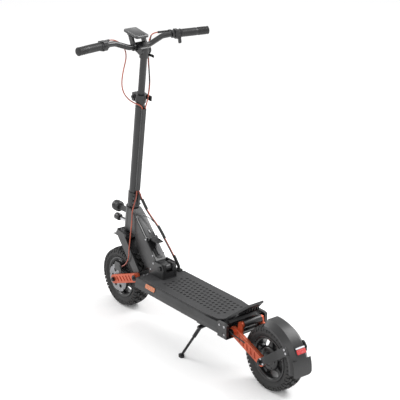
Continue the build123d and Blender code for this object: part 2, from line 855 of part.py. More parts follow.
def deck_outline(inset, front):
    """Plan of the deck's top: square shoulders in front and drawn-in corners behind."""
    half = deck_top_half_width - inset
    rear = deck_rear_x
    points = [(front, half - 22), (front - 22, half), (rear + 90, half), (rear + 17, half - 10),
              (rear + inset, half - 26)]
    Polyline(*points, *[(x, -y) for x, y in reversed(points)], close=True)


with BuildPart() as deck_cover:
    with BuildSketch(Plane.XY.offset(deck_rail_top)) as plan:
        with BuildLine():
            deck_outline(0.4, deck_front_x)
        make_face()
        fillet(plan.vertices(), 9)
    extrude(amount=cover_thickness)
finish(deck_cover, "deck_cover")

gland_top = (228, -78, 236)
gland_size = (26, 22)
base_rear = hinge_x - 21
base_front = deck_front_x - 5
base_half_width = 35
base_floor = 6
with BuildPart() as deck_mat:
    with BuildSketch(Plane.XY.offset(cover_top)) as plan:
        with BuildLine():
            deck_outline(1.6, base_front - 22)
        make_face()
        fillet(plan.vertices(), 9)
        with Locations(((base_rear + base_front) / 2, 0)):
            Rectangle(base_front - base_rear + 2, 2 * base_half_width + 2, mode=Mode.SUBTRACT)
        # notch round the cable gland, open to the mat's edge
        with Locations((gland_top[0] - 2, gland_top[1] - 10)):
            RectangleRounded(gland_size[0] + 4, gland_size[1] + 24, 3, mode=Mode.SUBTRACT)
    extrude(amount=deck_top - cover_top)
finish(deck_mat, "deck_mat")

battery_length = 330
battery_size = (160, 34)
battery_rear = deck_rear_x + 60
with BuildPart() as battery_pack:
    with BuildSketch(across(battery_rear)):
        with Locations((0, deck_bottom + deck_wall + battery_size[1] / 2)):
            RectangleRounded(*battery_size, 5)
    extrude(amount=battery_length)
finish(battery_pack, "battery_pack")

controller_size = (92, 120, 30)
with BuildPart() as controller:
    with BuildSketch(Plane.XY.offset(deck_bottom + deck_wall)):
        with Locations((battery_rear + battery_length + 8 + controller_size[0] / 2, 0)):
            RectangleRounded(controller_size[0], controller_size[1], 4)
    extrude(amount=controller_size[2])
finish(controller, "controller")

reflector_size = (63, 19)
reflector_x = deck_front_x - 102
with BuildPart() as side_reflectors:
    lean_in = math.atan2(rail_mid[0] - deck_top_half_width - 0.6, deck_rail_top - rail_mid[1])
    lean_plane = Plane((reflector_x, (rail_mid[0] + deck_top_half_width + 0.6) / 2, (rail_mid[1] + deck_rail_top) / 2),
                       x_dir=(1, 0, 0), z_dir=(0, math.cos(lean_in), math.sin(lean_in)))
    with BuildSketch(lean_plane.offset(0.03)):
        RectangleRounded(*reflector_size, 4)
    extrude(amount=3)
    chamfer(side_reflectors.faces().sort_by(Axis.Y)[-1].edges(), 1)
    mirror(about=Plane.XZ)
finish(side_reflectors, "side_reflectors")

# ---------------------------------------------------------------- rear bracket and kick plate
block_rear = rear_pivot_x + 20
cheek_y = 88
cheek_outer_y = deck_half_width - 2
ear_inner_y = 30
ear_outer_y = 44
housing_radius = 17
with BuildPart() as rear_bracket:
    with BuildSketch(across(block_rear)):
        with BuildLine():
            deck_section(0.4, deck_rail_top - 0.1)
        make_face()
    extrude(amount=deck_rear_x - seat_gap - block_rear)
    with BuildSketch(side_plane(cheek_outer_y)):
        with BuildLine():
            Polyline(
                (deck_rear_x - 0.1, deck_bottom - 5), (rear_pivot_x - 2, deck_bottom - 5),
                (rear_pivot_x - 2, deck_top - 2), (rear_pivot_x + 14, deck_top + 2),
                (deck_rear_x - 0.1, deck_top + 2), close=True)
        make_face()
    extrude(amount=2 * cheek_outer_y)
    with BuildSketch(side_plane(cheek_y)):
        with BuildLine():
            Polyline(
                (deck_rear_x + 1, deck_rail_top - 0.1), (block_rear, deck_rail_top - 0.1),
                (block_rear, deck_bottom - 2), (rear_pivot_x - 40, deck_bottom - 2),
                (rear_pivot_x - 40, deck_top + 40), (deck_rear_x + 1, deck_top + 40), close=True)
        make_face()
    extrude(amount=2 * cheek_y, mode=Mode.SUBTRACT)
    # ears that carry the pivot bolt, with the housing of the rear torsion unit between them
    for y in (ear_outer_y, -ear_inner_y):
        with BuildSketch(side_plane(y)):
            with Locations((rear_pivot_x, pivot_z), (block_rear + 3, pivot_z)):
                Circle(arm_end_radius - 0.5)
            make_hull()
        extrude(amount=ear_outer_y - ear_inner_y)
    with BuildSketch(side_plane(ear_inner_y)):
        with Locations((rear_pivot_x, pivot_z)):
            Circle(housing_radius)
    extrude(amount=2 * ear_inner_y)
    with BuildSketch(side_plane(ear_outer_y)):
        with Locations((rear_pivot_x, pivot_z)):
            Circle(pivot_radius + seat_gap)
    extrude(amount=2 * ear_outer_y, mode=Mode.SUBTRACT)
finish(rear_bracket, "rear_bracket")

bolt_head_radius = 4.2
side_bolts = ((rear_pivot_x + 10, deck_bottom + 12), (rear_pivot_x + 10, deck_top - 8),
              (deck_rear_x - 14, deck_top - 8))
cover_screws = [(deck_front_x - 8, 62), (deck_front_x - 8, 44), (deck_front_x - 8, -44),
                (deck_front_x - 8, -62)]
with BuildPart() as frame_bolts:
    for x, z in side_bolts:
        with BuildSketch(side_plane(cheek_outer_y + 2.5, x, z)):
            Circle(bolt_head_radius)
            RegularPolygon(2.2, 6, mode=Mode.SUBTRACT)
        extrude(amount=2.5 - seat_gap)
    mirror(about=Plane.XZ)
    for place in cover_screws:
        with BuildSketch(Plane.XY.offset(cover_top + 0.02)):
            with Locations(place):
                Circle(3.2)
                RegularPolygon(1.6, 6, mode=Mode.SUBTRACT)
        extrude(amount=1.8)
finish(frame_bolts, "frame_bolts")

kick_foot = (deck_rear_x - 3, deck_rail_top + 8)
kick_tip = (rear_pivot_x - 52, deck_top + 86)
kick_thickness = 8
kick_rib_depth = 7
kick_lean = math.atan2(kick_tip[1] - kick_foot[1], kick_foot[0] - kick_tip[0])


def under_kick(along, depth):
    """Point below the kick plate's upper face, measured along it from its foot."""
    return (kick_foot[0] - along * math.cos(kick_lean) - depth * math.sin(kick_lean),
            kick_foot[1] + along * math.sin(kick_lean) - depth * math.cos(kick_lean))


kick_length = math.hypot(kick_tip[0] - kick_foot[0], kick_tip[1] - kick_foot[1])
with BuildPart() as kick_plate:
    with BuildSketch(side_plane(68)):
        with BuildLine():
            Polyline(
                (deck_rear_x - 1, deck_rail_top), kick_foot, kick_tip,
                under_kick(kick_length, kick_thickness), under_kick(16, kick_thickness),
                (block_rear + 2, deck_rail_top), close=True)
        make_face()
    extrude(amount=2 * 68)
    for step in range(-4, 5):
        rib_y = step * 13
        with BuildSketch(side_plane(rib_y + 1.5)):
            with BuildLine():
                Polyline(
                    under_kick(20, kick_thickness - 1), under_kick(kick_length - 50, kick_thickness - 1),
                    under_kick(kick_length - 60, kick_thickness + kick_rib_depth),
                    under_kick(34, kick_thickness + kick_rib_depth), close=True)
            make_face()
        extrude(amount=3)
    with BuildSketch():
        with BuildLine():
            Polyline(
                (deck_rear_x, 68), (deck_rear_x - 20, 67), (kick_tip[0] - 8, 32), (kick_tip[0] - 8, -32),
                (deck_rear_x - 20, -67), (deck_rear_x, -68), close=True)
        make_face()
    extrude(amount=500, mode=Mode.INTERSECT)
finish(kick_plate, "kick_plate")

# ---------------------------------------------------------------- fold hinge
cheek_inner = neck_half_width + 1.5
hinge_cheek_top = hinge_z + 20
with BuildPart() as neck_base:
    with BuildSketch(Plane.XY.offset(cover_top + 0.02)):
        with Locations(((base_rear + base_front) / 2, 0)):
            RectangleRounded(base_front - base_rear, 2 * base_half_width, 5)
    extrude(amount=base_floor)
    with BuildSketch(side_plane(base_half_width)):
        with BuildLine():
            Polyline(
                (base_rear + 3, cover_top + 3), (base_front - 2, cover_top + 3),
                (base_front - 6, cover_top + 30), (hinge_x + 46, hinge_cheek_top),
                (hinge_x - 10, hinge_cheek_top), (base_rear + 3, hinge_z - 8), close=True)
        make_face()
    extrude(amount=2 * base_half_width)
    with BuildSketch(side_plane(cheek_inner)):
        with Locations(((base_rear + base_front) / 2, cover_top + base_floor + 60)):
            Rectangle(200, 120)
    extrude(amount=2 * cheek_inner, mode=Mode.SUBTRACT)
    with BuildSketch(side_plane(base_half_width + 1, hinge_x, hinge_z)):
        Circle(hinge_pin_radius + seat_gap)
    extrude(amount=2 * base_half_width + 2, mode=Mode.SUBTRACT)
finish(neck_base, "neck_base")

block_half_length = 18
block_top = hinge_z + 18
knuckle_radius = 14
with BuildPart() as hinge_block:
    block_low = cover_top + 0.02 + base_floor + 0.02
    with BuildSketch(Plane.XY.offset(block_low)):
        with Locations((hinge_x, 0)):
            RectangleRounded(2 * block_half_length, 2 * neck_half_width, 3)
    extrude(amount=block_top - block_low)
    with BuildSketch(side_plane(knuckle_half_width + 0.7)):
        with Locations((hinge_x, hinge_z - knuckle_radius - 1.5 + 30)):
            Rectangle(80, 60)
    extrude(amount=2 * knuckle_half_width + 1.4, mode=Mode.SUBTRACT)
    with BuildSketch(side_plane(neck_half_width + 1, hinge_x, hinge_z)):
        Circle(hinge_pin_radius + seat_gap)
    extrude(amount=2 * neck_half_width + 2, mode=Mode.SUBTRACT)
finish(hinge_block, "hinge_block")

pin_end = base_half_width + 0.1
with BuildPart() as hinge_pin:
    with BuildSketch(side_plane(pin_end + 4, hinge_x, hinge_z)):
        Circle(hinge_pin_radius)
    extrude(amount=2 * (pin_end + 4))
    for y in (pin_end + 5, -pin_end):
        with BuildSketch(side_plane(y, hinge_x, hinge_z)):
            Circle(hinge_pin_radius + 4)
        extrude(amount=5)
finish(hinge_pin, "hinge_pin")

# ---------------------------------------------------------------- neck and its headset
bearing_radius = 21
bearing_height = 9
head_bore = 17
latch_x = 300.5
latch_z = 358
latch_barrel = 7
latch_pin = 3
latch_lug_y = 17
with BuildPart() as neck_arm:
    foot_line = cover_top + base_floor + 4
    rear_face = [(hinge_x + 29, foot_line), (hinge_x + 29, hinge_z - 4), (hinge_x + 38, hinge_z + 20)]
    neck_side = rear_face + [
        (383.5, 432), (415.5, 455), (441.5, 450), (446, 372), (425.5, 350), (387.5, 348),
        (377, 298), (344, 252), (315.5, 236), (283.5, foot_line)]
    with BuildSketch(side_plane(neck_half_width)):
        with BuildLine():
            Polyline(*neck_side, close=True)
        make_face()
    extrude(amount=2 * neck_half_width)
    chamfer(neck_arm.edges().filter_by(Axis.Y, reverse=True).group_by(Axis.Y)[-1], 2.5)
    chamfer(neck_arm.edges().filter_by(Axis.Y, reverse=True).group_by(Axis.Y)[0], 2.5)
    with BuildSketch(side_plane(knuckle_half_width)):
        with Locations((hinge_x, hinge_z), (hinge_x + 44, hinge_z)):
            Circle(knuckle_radius)
        make_hull()
    extrude(amount=2 * knuckle_half_width)
    for y in (latch_lug_y + 5, -latch_lug_y):
        with BuildSketch(side_plane(y)):
            with Locations((latch_x, latch_z), (latch_x + 16, latch_z - 14)):
                Circle(7)
            make_hull()
            with Locations((latch_x, latch_z)):
                Circle(latch_pin + seat_gap, mode=Mode.SUBTRACT)
        extrude(amount=5)
    with BuildSketch(steer_plane(head_low)):
        Circle(head_radius)
    extrude(amount=head_high - head_low)
    with BuildSketch(steer_plane(head_low - 40)):
        Circle(head_bore)
    extrude(amount=head_high - head_low + 80, mode=Mode.SUBTRACT)
    for low, reach in ((head_low - 20, bearing_height + 20), (head_high - bearing_height, bearing_height + 20)):
        with BuildSketch(steer_plane(low)):
            Circle(bearing_radius + seat_gap)
        extrude(amount=reach, mode=Mode.SUBTRACT)
    with BuildSketch(side_plane(knuckle_half_width + 1, hinge_x, hinge_z)):
        Circle(hinge_pin_radius + shaft_gap)
    extrude(amount=2 * knuckle_half_width + 2, mode=Mode.SUBTRACT)
finish(neck_arm, "neck_arm")

with BuildPart() as headset_bearings:
    for low in (head_low, head_high - bearing_height):
        with BuildSketch(steer_plane(low)):
            Circle(bearing_radius)
            Circle(steerer_radius + shaft_gap, mode=Mode.SUBTRACT)
        extrude(amount=bearing_height)
finish(headset_bearings, "headset_bearings")

# latch lever hinged on the neck's rear face: a short blade standing out and a long strip lying down
with BuildPart() as latch_lever:
    with BuildSketch(side_plane(latch_lug_y - turn_gap)):
        with Locations((latch_x, latch_z)):
            Circle(latch_barrel)
    extrude(amount=2 * (latch_lug_y - turn_gap))
    with BuildSketch(side_plane(latch_lug_y + 4)):
        with Locations((latch_x, latch_z)):
            Circle(latch_pin)
    extrude(amount=2 * (latch_lug_y + 4))
    with BuildSketch(side_plane(15)):
        with BuildLine():
            Polyline(
                (latch_x, latch_z + 4), (latch_x - 52, latch_z - 1.5), (latch_x - 54, latch_z - 5),
                (latch_x, latch_z - 3), close=True)
        make_face()
    extrude(amount=30)
    with BuildSketch(side_plane(9)):
        with BuildLine():
            Polyline(
                (latch_x - 6, latch_z), (latch_x - 55, latch_z - 52), (latch_x - 51, latch_z - 55),
                (latch_x + 1, latch_z - 5), close=True)
        make_face()
    extrude(amount=18)
finish(latch_lever, "latch_lever")

# ---------------------------------------------------------------- lights and horn on the head tube
light_radius = 22
light_x = 527
light_depth = 35
head_light_z = 426
horn_z = 378
with BuildPart() as headlight:
    with BuildSketch(across(light_x)):
        with Locations((0, head_light_z)):
            Circle(light_radius)
    extrude(amount=light_depth)
    chamfer(headlight.faces().sort_by(Axis.X)[0].edges(), 5)
    with BuildSketch(side_plane(8)):
        with BuildLine():
            Polyline(
                (430, head_light_z - 9), (light_x + 4, head_light_z - 9), (light_x + 4, head_light_z + 9),
                (430, head_light_z + 9), close=True)
        make_face()
    extrude(amount=16)
    with BuildSketch(steer_plane(head_low)):
        Circle(head_radius + seat_gap)
    extrude(amount=head_high, mode=Mode.SUBTRACT)
finish(headlight, "headlight")

with BuildPart() as horn:
    with BuildSketch(across(light_x + 4)):
        with Locations((0, horn_z)):
            Circle(15)
    extrude(amount=26)
    chamfer(horn.faces().sort_by(Axis.X)[0].edges(), 4)
    with BuildSketch(side_plane(5)):
        with BuildLine():
            Polyline(
                (430, horn_z - 6), (light_x + 8, horn_z - 6), (light_x + 8, horn_z + 6),
                (430, horn_z + 6), close=True)
        make_face()
    extrude(amount=10)
    with BuildSketch(steer_plane(head_low - 10)):
        Circle(head_radius + seat_gap)
    extrude(amount=head_high, mode=Mode.SUBTRACT)
finish(horn, "horn")

# ---------------------------------------------------------------- kickstand
stand_x = deck_rear_x + 110
stand_z = deck_bottom - 14
stand_foot = (stand_x + 85, 122)
stand_inner_y = 76
stand_barrel = (84, 102)
with BuildPart() as kickstand_bracket:
    with BuildSketch(Plane.XY.offset(deck_bottom - 4.02)):
        with Locations((stand_x, 84)):
            RectangleRounded(50, 22, 3)
    extrude(amount=4)
    with BuildSketch(side_plane(stand_inner_y + 7)):
        with Locations((stand_x, stand_z), (stand_x - 8, deck_bottom - 10), (stand_x + 8, deck_bottom - 10)):
            Circle(7)
        make_hull()
    extrude(amount=7)
    with BuildSketch(side_plane(stand_barrel[1] + 4, stand_x, stand_z)):
        Circle(4)
    extrude(amount=stand_barrel[1] + 4 - stand_inner_y)
    with BuildSketch(side_plane(stand_barrel[1] + 4, stand_x, stand_z)):
        Circle(6.5)
    extrude(amount=4 - turn_gap)
finish(kickstand_bracket, "kickstand_bracket")

with BuildPart() as kickstand_leg:
    foot = Vector(stand_foot[0], stand_foot[1], 8)
    top = Vector(stand_x, (stand_barrel[0] + stand_barrel[1]) / 2 + 1, stand_z)
    leg_way = (foot - top).normalized()
    with BuildSketch(side_plane(stand_barrel[1], stand_x, stand_z)):
        Circle(8.6)
    extrude(amount=stand_barrel[1] - stand_barrel[0])
    with BuildSketch(Plane(origin=top, z_dir=leg_way)):
        Circle(5.2)
    extrude(amount=(foot - top).length)
    with BuildSketch(Plane(origin=top, z_dir=leg_way)):
        Circle(7.4)
    extrude(amount=58)
    with BuildSketch():
        with Locations(stand_foot):
            RectangleRounded(22, 18, 5)
    extrude(amount=12)
    with BuildSketch(side_plane(stand_barrel[1] + 8, stand_x, stand_z)):
        Circle(4 + shaft_gap)
    extrude(amount=30, mode=Mode.SUBTRACT)
    with BuildSketch(side_plane(stand_barrel[1] + 8, stand_x, stand_z)):
        Circle(7)
    extrude(amount=8, mode=Mode.SUBTRACT)
finish(kickstand_leg, "kickstand_leg")

# ---------------------------------------------------------------- cables
def cable_run(points, name):
    """Section and path of a cable: runs joined by arcs that meet them tangentially."""
    nodes = [Vector(*point) for point in points]
    radii = []
    for before, here, after in zip(nodes, nodes[1:], nodes[2:]):
        first, second = here - before, after - here
        half_turn = math.radians(first.get_angle(second)) / 2
        radii.append(0.45 * min(first.length, second.length) / math.tan(half_turn))
    with BuildLine() as way:
        FilletPolyline(*nodes, radius=radii)
    path = way.wire()
    with BuildSketch(Plane(origin=path @ 0, z_dir=path % 0)) as section:
        Circle(cable_radius)
    print(name, "length", round(path.length), "tightest bend", round(min(radii), 1),
          "runs", [round((b - a).length) for a, b in zip(nodes, nodes[1:])])
    return section.sketch, path


def beside_barrel(side, beyond):
    """Point on a brake lever's cable barrel axis, this far beyond its inner end."""
    frame = bar_plane(barrel_inner - beyond, side)
    spot = frame.origin + frame.x_dir * barrel_up + frame.y_dir * (side * perch_forward)
    return (spot.X, spot.Y, spot.Z)


def in_duct(along, side):
    """Point on the path of a cable inside the stem's duct."""
    x, z = steer_xz(along, duct_middle)
    return (x, side * 5, z)


left_loop = [beside_barrel(1, 0.1), beside_barrel(1, 22), (408, 66, 1156), (400, 47, 1128), (402, 41, 1094),
             (414, 44, 1056), (424, 48, 1014), (426, 50, 976), (415, 48, 947), (396, 43, 930),
             (378, 38, 921), (361, 31, 915), (349, 17, 909), in_duct(duct_high + 2, 1),
             in_duct(duct_high - 15, 1)]
right_loop = [beside_barrel(-1, 0.1), beside_barrel(-1, 24), (407, -73, 1149), (393, -58, 1120), (377, -46, 1086),
              (364, -38, 1048), (352, -34, 1014), (340, -25, 984), (333, -14, 951), (336, -8, 919),
              in_duct(duct_high - 2, -1), in_duct(duct_high - 20, -1)]
with BuildPart() as bar_cables:
    for route, name in ((left_loop, "left loop"), (right_loop, "right loop")):
        section, path = cable_run(route, name)
        sweep(section, path=path)
finish(bar_cables, "bar_cables")

caliper_entry = (front_x - 36.2, 47, axle_z + 65)
brake_route = [in_duct(duct_low + 18, 1), in_duct(duct_low - 3, 1), (391.5, 12, 513), (392, 24, 482), (396, 33, 450),
               (394, 36, 408), (400, 38, 366), (397, 45, 328), (390, 56, 292), (388, 58.5, 260),
               (402, 59, 232), (428, 55, 207), caliper_entry]
with BuildPart() as front_brake_cable:
    section, path = cable_run(brake_route, "front brake cable")
    sweep(section, path=path)
finish(front_brake_cable, "front_brake_cable")

upper_run = [in_duct(duct_low + 18, -1), in_duct(duct_low - 3, -1), (391.5, -8, 513), (381, -13, 488),
             (366, -22, 454), (346, -30, 428), (320, -36, 405), (300, -42, 380), (281, -48, 350),
             (262, -54, 322), (245, -59, 296), (233, -68, 266), gland_top]
with BuildPart() as deck_cable:
    section, path = cable_run(upper_run, "deck cable")
    sweep(section, path=path)
finish(deck_cable, "deck_cable")

with BuildPart() as cable_gland:
    with BuildSketch(Plane.XY.offset(cover_top + 0.02)):
        with Locations((gland_top[0] - 2, gland_top[1])):
            RectangleRounded(*gland_size, 4)
    extrude(amount=9)
    with BuildSketch(Plane.XY.offset(deck_top + 3)):
        with Locations((gland_top[0], gland_top[1])):
            Circle(6.5)
    extrude(amount=gland_top[2] - deck_top - 4.2)
finish(cable_gland, "cable_gland")

motor_route = [(deck_rear_x - 34, 80, 196), (-300, 81, 190), (-326, 80, 184), (-352, 76, 180), (-378, 72.5, 172)]
with BuildPart() as rear_cable:
    section, path = cable_run(motor_route, "rear motor cable")
    sweep(section, path=path)
finish(rear_cable, "rear_cable")
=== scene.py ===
import bmesh
import bpy
import json
import math
from mathutils import Matrix, Vector


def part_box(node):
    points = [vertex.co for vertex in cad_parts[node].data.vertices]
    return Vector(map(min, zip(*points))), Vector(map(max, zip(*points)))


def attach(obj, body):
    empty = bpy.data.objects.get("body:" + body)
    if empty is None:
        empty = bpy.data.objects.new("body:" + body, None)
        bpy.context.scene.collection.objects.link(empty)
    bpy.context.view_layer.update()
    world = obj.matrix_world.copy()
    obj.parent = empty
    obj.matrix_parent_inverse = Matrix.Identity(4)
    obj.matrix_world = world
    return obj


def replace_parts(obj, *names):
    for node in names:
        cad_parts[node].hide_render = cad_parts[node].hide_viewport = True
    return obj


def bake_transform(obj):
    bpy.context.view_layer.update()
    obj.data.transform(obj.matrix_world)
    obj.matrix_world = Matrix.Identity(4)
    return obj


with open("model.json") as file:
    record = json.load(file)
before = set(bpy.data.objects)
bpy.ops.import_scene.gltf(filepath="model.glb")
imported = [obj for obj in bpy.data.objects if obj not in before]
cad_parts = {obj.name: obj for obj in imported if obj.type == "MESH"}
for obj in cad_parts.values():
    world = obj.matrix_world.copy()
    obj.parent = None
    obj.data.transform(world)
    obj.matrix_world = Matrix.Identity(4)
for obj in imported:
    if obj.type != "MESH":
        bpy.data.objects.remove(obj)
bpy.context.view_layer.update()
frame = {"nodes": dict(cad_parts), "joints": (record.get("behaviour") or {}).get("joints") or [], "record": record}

cadNodes = frame["nodes"]
finishOf = {part["node"]: part["material_slot"] for part in frame["record"]["subparts"]}
print("frame loaded:", len(cadNodes), "nodes")


# nodes of a shader or geometry tree

class Wire:
    # an output socket; sums, products and comparisons on it add Math nodes to its tree
    def __init__(self, tree, socket):
        self.tree = tree
        self.socket = socket

    def maths(self, operation, *others, first=None):
        values = ([first] if first is not None else []) + [self] + list(others)
        return self.tree.add("ShaderNodeMath", {"operation": operation}, dict(enumerate(values)))

    def __add__(self, other):
        return self.maths("ADD", other)

    __radd__ = __add__

    def __mul__(self, other):
        return self.maths("MULTIPLY", other)

    __rmul__ = __mul__

    def __sub__(self, other):
        return self.maths("SUBTRACT", other)

    def __rsub__(self, other):
        return self.maths("SUBTRACT", first=other)

    def __truediv__(self, other):
        return self.maths("DIVIDE", other)

    def __pow__(self, other):
        return self.maths("POWER", other)

    def __gt__(self, other):
        return self.maths("GREATER_THAN", other)

    def __lt__(self, other):
        return self.maths("LESS_THAN", other)

    def __abs__(self):
        return self.maths("ABSOLUTE")

    def smooth(self, low, high):
        # 0 below low, 1 above high, eased between
        return self.tree.add("ShaderNodeMapRange", {"interpolation_type": "SMOOTHSTEP"},
                             {"Value": self, "From Min": low, "From Max": high})

    def part(self, axis):
        return self.tree.add("ShaderNodeSeparateXYZ", {}, {0: self}, axis)


class Tree:
    def __init__(self, nodeTree):
        self.nodeTree = nodeTree

    def add(self, kind, settings=None, inputs=None, output=0):
        node = self.nodeTree.nodes.new(kind)
        for name, value in (settings or {}).items():
            if name == "stops":
                for index, (place, colour) in enumerate(value):
                    elements = node.color_ramp.elements
                    stop = elements[index] if index < len(elements) else elements.new(place)
                    stop.position = place
                    stop.color = (*colour, 1)
            else:
                setattr(node, name, value)
        for name, value in (inputs or {}).items():
            if isinstance(value, Wire):
                self.nodeTree.links.new(value.socket, node.inputs[name])
            elif value is not None:
                node.inputs[name].default_value = value
        return Wire(self, node.outputs[output])

    def mixColour(self, factor, first, second):
        pick = [c if isinstance(c, Wire) else (*c, 1) for c in (first, second)]
        return self.add("ShaderNodeMix", {"data_type": "RGBA"}, {0: factor, 6: pick[0], 7: pick[1]}, 2)

    def noise(self, place, scale, detail=3.0, stretch=None):
        if stretch:
            place = self.add("ShaderNodeMapping", {}, {"Vector": place, "Scale": stretch})
        return self.add("ShaderNodeTexNoise", {}, {"Vector": place, "Scale": scale, "Detail": detail})


class Paint(Tree):
    # a material's tree with its Principled shader ready
    def __init__(self, name, **constants):
        self.material = bpy.data.materials.new(name)
        self.material.use_nodes = True
        super().__init__(self.material.node_tree)
        self.shader = self.nodeTree.nodes["Principled BSDF"]
        for socket, value in constants.items():
            self.shader.inputs[socket.replace("_", " ")].default_value = value
        self.place = self.add("ShaderNodeTexCoord", {}, {}, 3)

    def feed(self, **sockets):
        for name, value in sockets.items():
            self.nodeTree.links.new(value.socket, self.shader.inputs[name.replace("_", " ")])

    def bump(self, height, distance, strength=1.0):
        wire = self.add("ShaderNodeBump", {}, {"Height": height, "Distance": distance, "Strength": strength})
        self.feed(Normal=wire)


# finishes, one for each material slot

coats = {
    "dark_paint": dict(colour=(0.012, 0.0122, 0.0132), shade=(0.008, 0.0082, 0.0088), rough=0.34, spread=0.14,
                       grain=1500, depth=0.0001, coat=0.1),
    "black_paint": dict(colour=(0.0085, 0.0085, 0.0095), shade=(0.005, 0.005, 0.0056), rough=0.33, spread=0.16,
                        grain=1300, depth=0.0001, coat=0.14),
    "soft_black": dict(colour=(0.011, 0.011, 0.011), shade=(0.006, 0.006, 0.006), rough=0.6, spread=0.15,
                       grain=900, depth=0.0001, coat=0.0),
    "black_steel": dict(colour=(0.016, 0.016, 0.018), shade=(0.008, 0.008, 0.009), rough=0.3, spread=0.2,
                        grain=700, depth=0.00008, coat=0.1, metal=0.6),
    "black_plastic": dict(colour=(0.0125, 0.0125, 0.0135), shade=(0.008, 0.008, 0.0086), rough=0.42, spread=0.12,
                          grain=2200, depth=0.00012, coat=0.08),
    "gloss_black": dict(colour=(0.01, 0.0105, 0.012), shade=(0.006, 0.006, 0.007), rough=0.16, spread=0.1,
                        grain=500, depth=0.00003, coat=0.5),
    "battery_wrap": dict(colour=(0.02, 0.09, 0.3), shade=(0.015, 0.06, 0.2), rough=0.3, spread=0.15,
                         grain=60, depth=0.0004, coat=0.2),
    "grip_rubber": dict(colour=(0.012, 0.012, 0.0125), shade=(0.007, 0.007, 0.0075), rough=0.42, spread=0.14,
                        grain=1800, depth=0.0002, coat=0.0),
    "orange_sleeve": dict(colour=(0.42, 0.075, 0.028), shade=(0.2, 0.03, 0.014), rough=0.34, spread=0.12,
                          grain=400, depth=0.00006, coat=0.2),
}


def coatPaint(name, colour, shade, rough, spread, grain, depth, coat, metal=0.0):
    paint = Paint(name, Metallic=metal, Coat_Weight=coat, Coat_Roughness=0.25)
    cloud = paint.noise(paint.place, 11, 5).smooth(0.3, 0.7)
    fine = paint.noise(paint.place, grain, 2)
    scuff = paint.noise(paint.place, 160, 4, (1, 0.25, 1)).smooth(0.62, 0.78) * cloud
    body = paint.mixColour(cloud, colour, shade)
    worn = tuple(min(1, c * 1.8 + 0.006) for c in colour)
    paint.feed(Base_Color=paint.mixColour(scuff * 0.5, body, worn),
               Roughness=cloud * spread + (rough - spread / 2) + scuff * 0.12)
    paint.bump(fine, depth, 0.7)
    return paint.material


def tyrePaint():
    # dusty sidewall, cleaner and darker on the worn tops of the knobs
    paint = Paint("tyreRubber")
    dust = paint.noise(paint.place, 26, 6).smooth(0.35, 0.75)
    pores = paint.noise(paint.place, 900, 2)
    scrub = paint.noise(paint.place, 220, 3)
    body = paint.mixColour(dust, (0.0085, 0.0085, 0.009), (0.02, 0.0195, 0.019))
    paint.feed(Base_Color=paint.mixColour(scrub.smooth(0.5, 0.9) * 0.4, body, (0.034, 0.033, 0.032)),
               Roughness=dust * 0.14 + 0.62)
    paint.bump(pores + scrub * 0.6, 0.00035, 0.8)
    return paint.material


def matPaint():
    # moulded rubber with a pebbled skin
    paint = Paint("matRubber")
    pebble = paint.add("ShaderNodeTexVoronoi", {}, {"Vector": paint.place, "Scale": 700.0})
    cloud = paint.noise(paint.place, 9, 5).smooth(0.3, 0.72)
    tread = paint.noise(paint.place, 60, 4, (0.4, 1, 1)).smooth(0.58, 0.8)
    body = paint.mixColour(cloud, (0.02, 0.02, 0.021), (0.03, 0.03, 0.0315))
    paint.feed(Base_Color=paint.mixColour(tread * 0.35, body, (0.042, 0.041, 0.04)),
               Roughness=cloud * 0.12 + pebble * 0.1 + 0.5)
    paint.bump(pebble, 0.0003, 0.8)
    return paint.material


def orangePaint():
    # anodised plate: drawn lines along the arm, and bare paler floors in the milled pockets
    paint = Paint("orangeAnodised", Metallic=0.55, Coat_Weight=0.15, Coat_Roughness=0.3)
    lines = paint.noise(paint.place, 260, 3, (0.12, 1, 1))
    cloud = paint.noise(paint.place, 18, 5).smooth(0.3, 0.75)
    side = abs(paint.place.part(1))
    floor = (side > 0.0615) * (side < 0.0645)
    body = paint.mixColour(cloud, (0.5, 0.085, 0.03), (0.33, 0.052, 0.02))
    paint.feed(Base_Color=paint.mixColour(floor * 0.75, body, (0.62, 0.2, 0.13)),
               Roughness=lines * 0.18 + cloud * 0.1 + 0.24)
    paint.bump(lines, 0.00012, 0.6)
    return paint.material


def steelPaint(name, tone, rough):
    paint = Paint(name, Metallic=1.0)
    lines = paint.noise(paint.place, 700, 3, (1, 1, 0.15))
    cloud = paint.noise(paint.place, 30, 5).smooth(0.3, 0.75)
    dark = tuple(c * 0.62 for c in tone)
    paint.feed(Base_Color=paint.mixColour(cloud * 0.6, tone, dark), Roughness=lines * 0.2 + cloud * 0.1 + rough)
    paint.bump(lines, 0.00008, 0.6)
    return paint.material


def lensPaint(name, colour, deep, glow):
    # moulded prisms behind a clear face; glow sets an emission, which on the amber reflectors is a painted glow
    paint = Paint(name, Coat_Weight=0.8, Coat_Roughness=0.06, Emission_Strength=glow)
    prisms = paint.add("ShaderNodeTexVoronoi", {"feature": "DISTANCE_TO_EDGE"},
                       {"Vector": paint.place, "Scale": 330.0})
    cloud = paint.noise(paint.place, 40, 4)
    edge = prisms.smooth(0.0, 0.2)
    tint = paint.mixColour(edge * 0.8 + cloud * 0.2, deep, colour)
    paint.feed(Base_Color=tint, Emission_Color=tint, Roughness=edge * 0.12 + 0.12)
    paint.bump(edge, 0.0005, 0.6)
    return paint.material


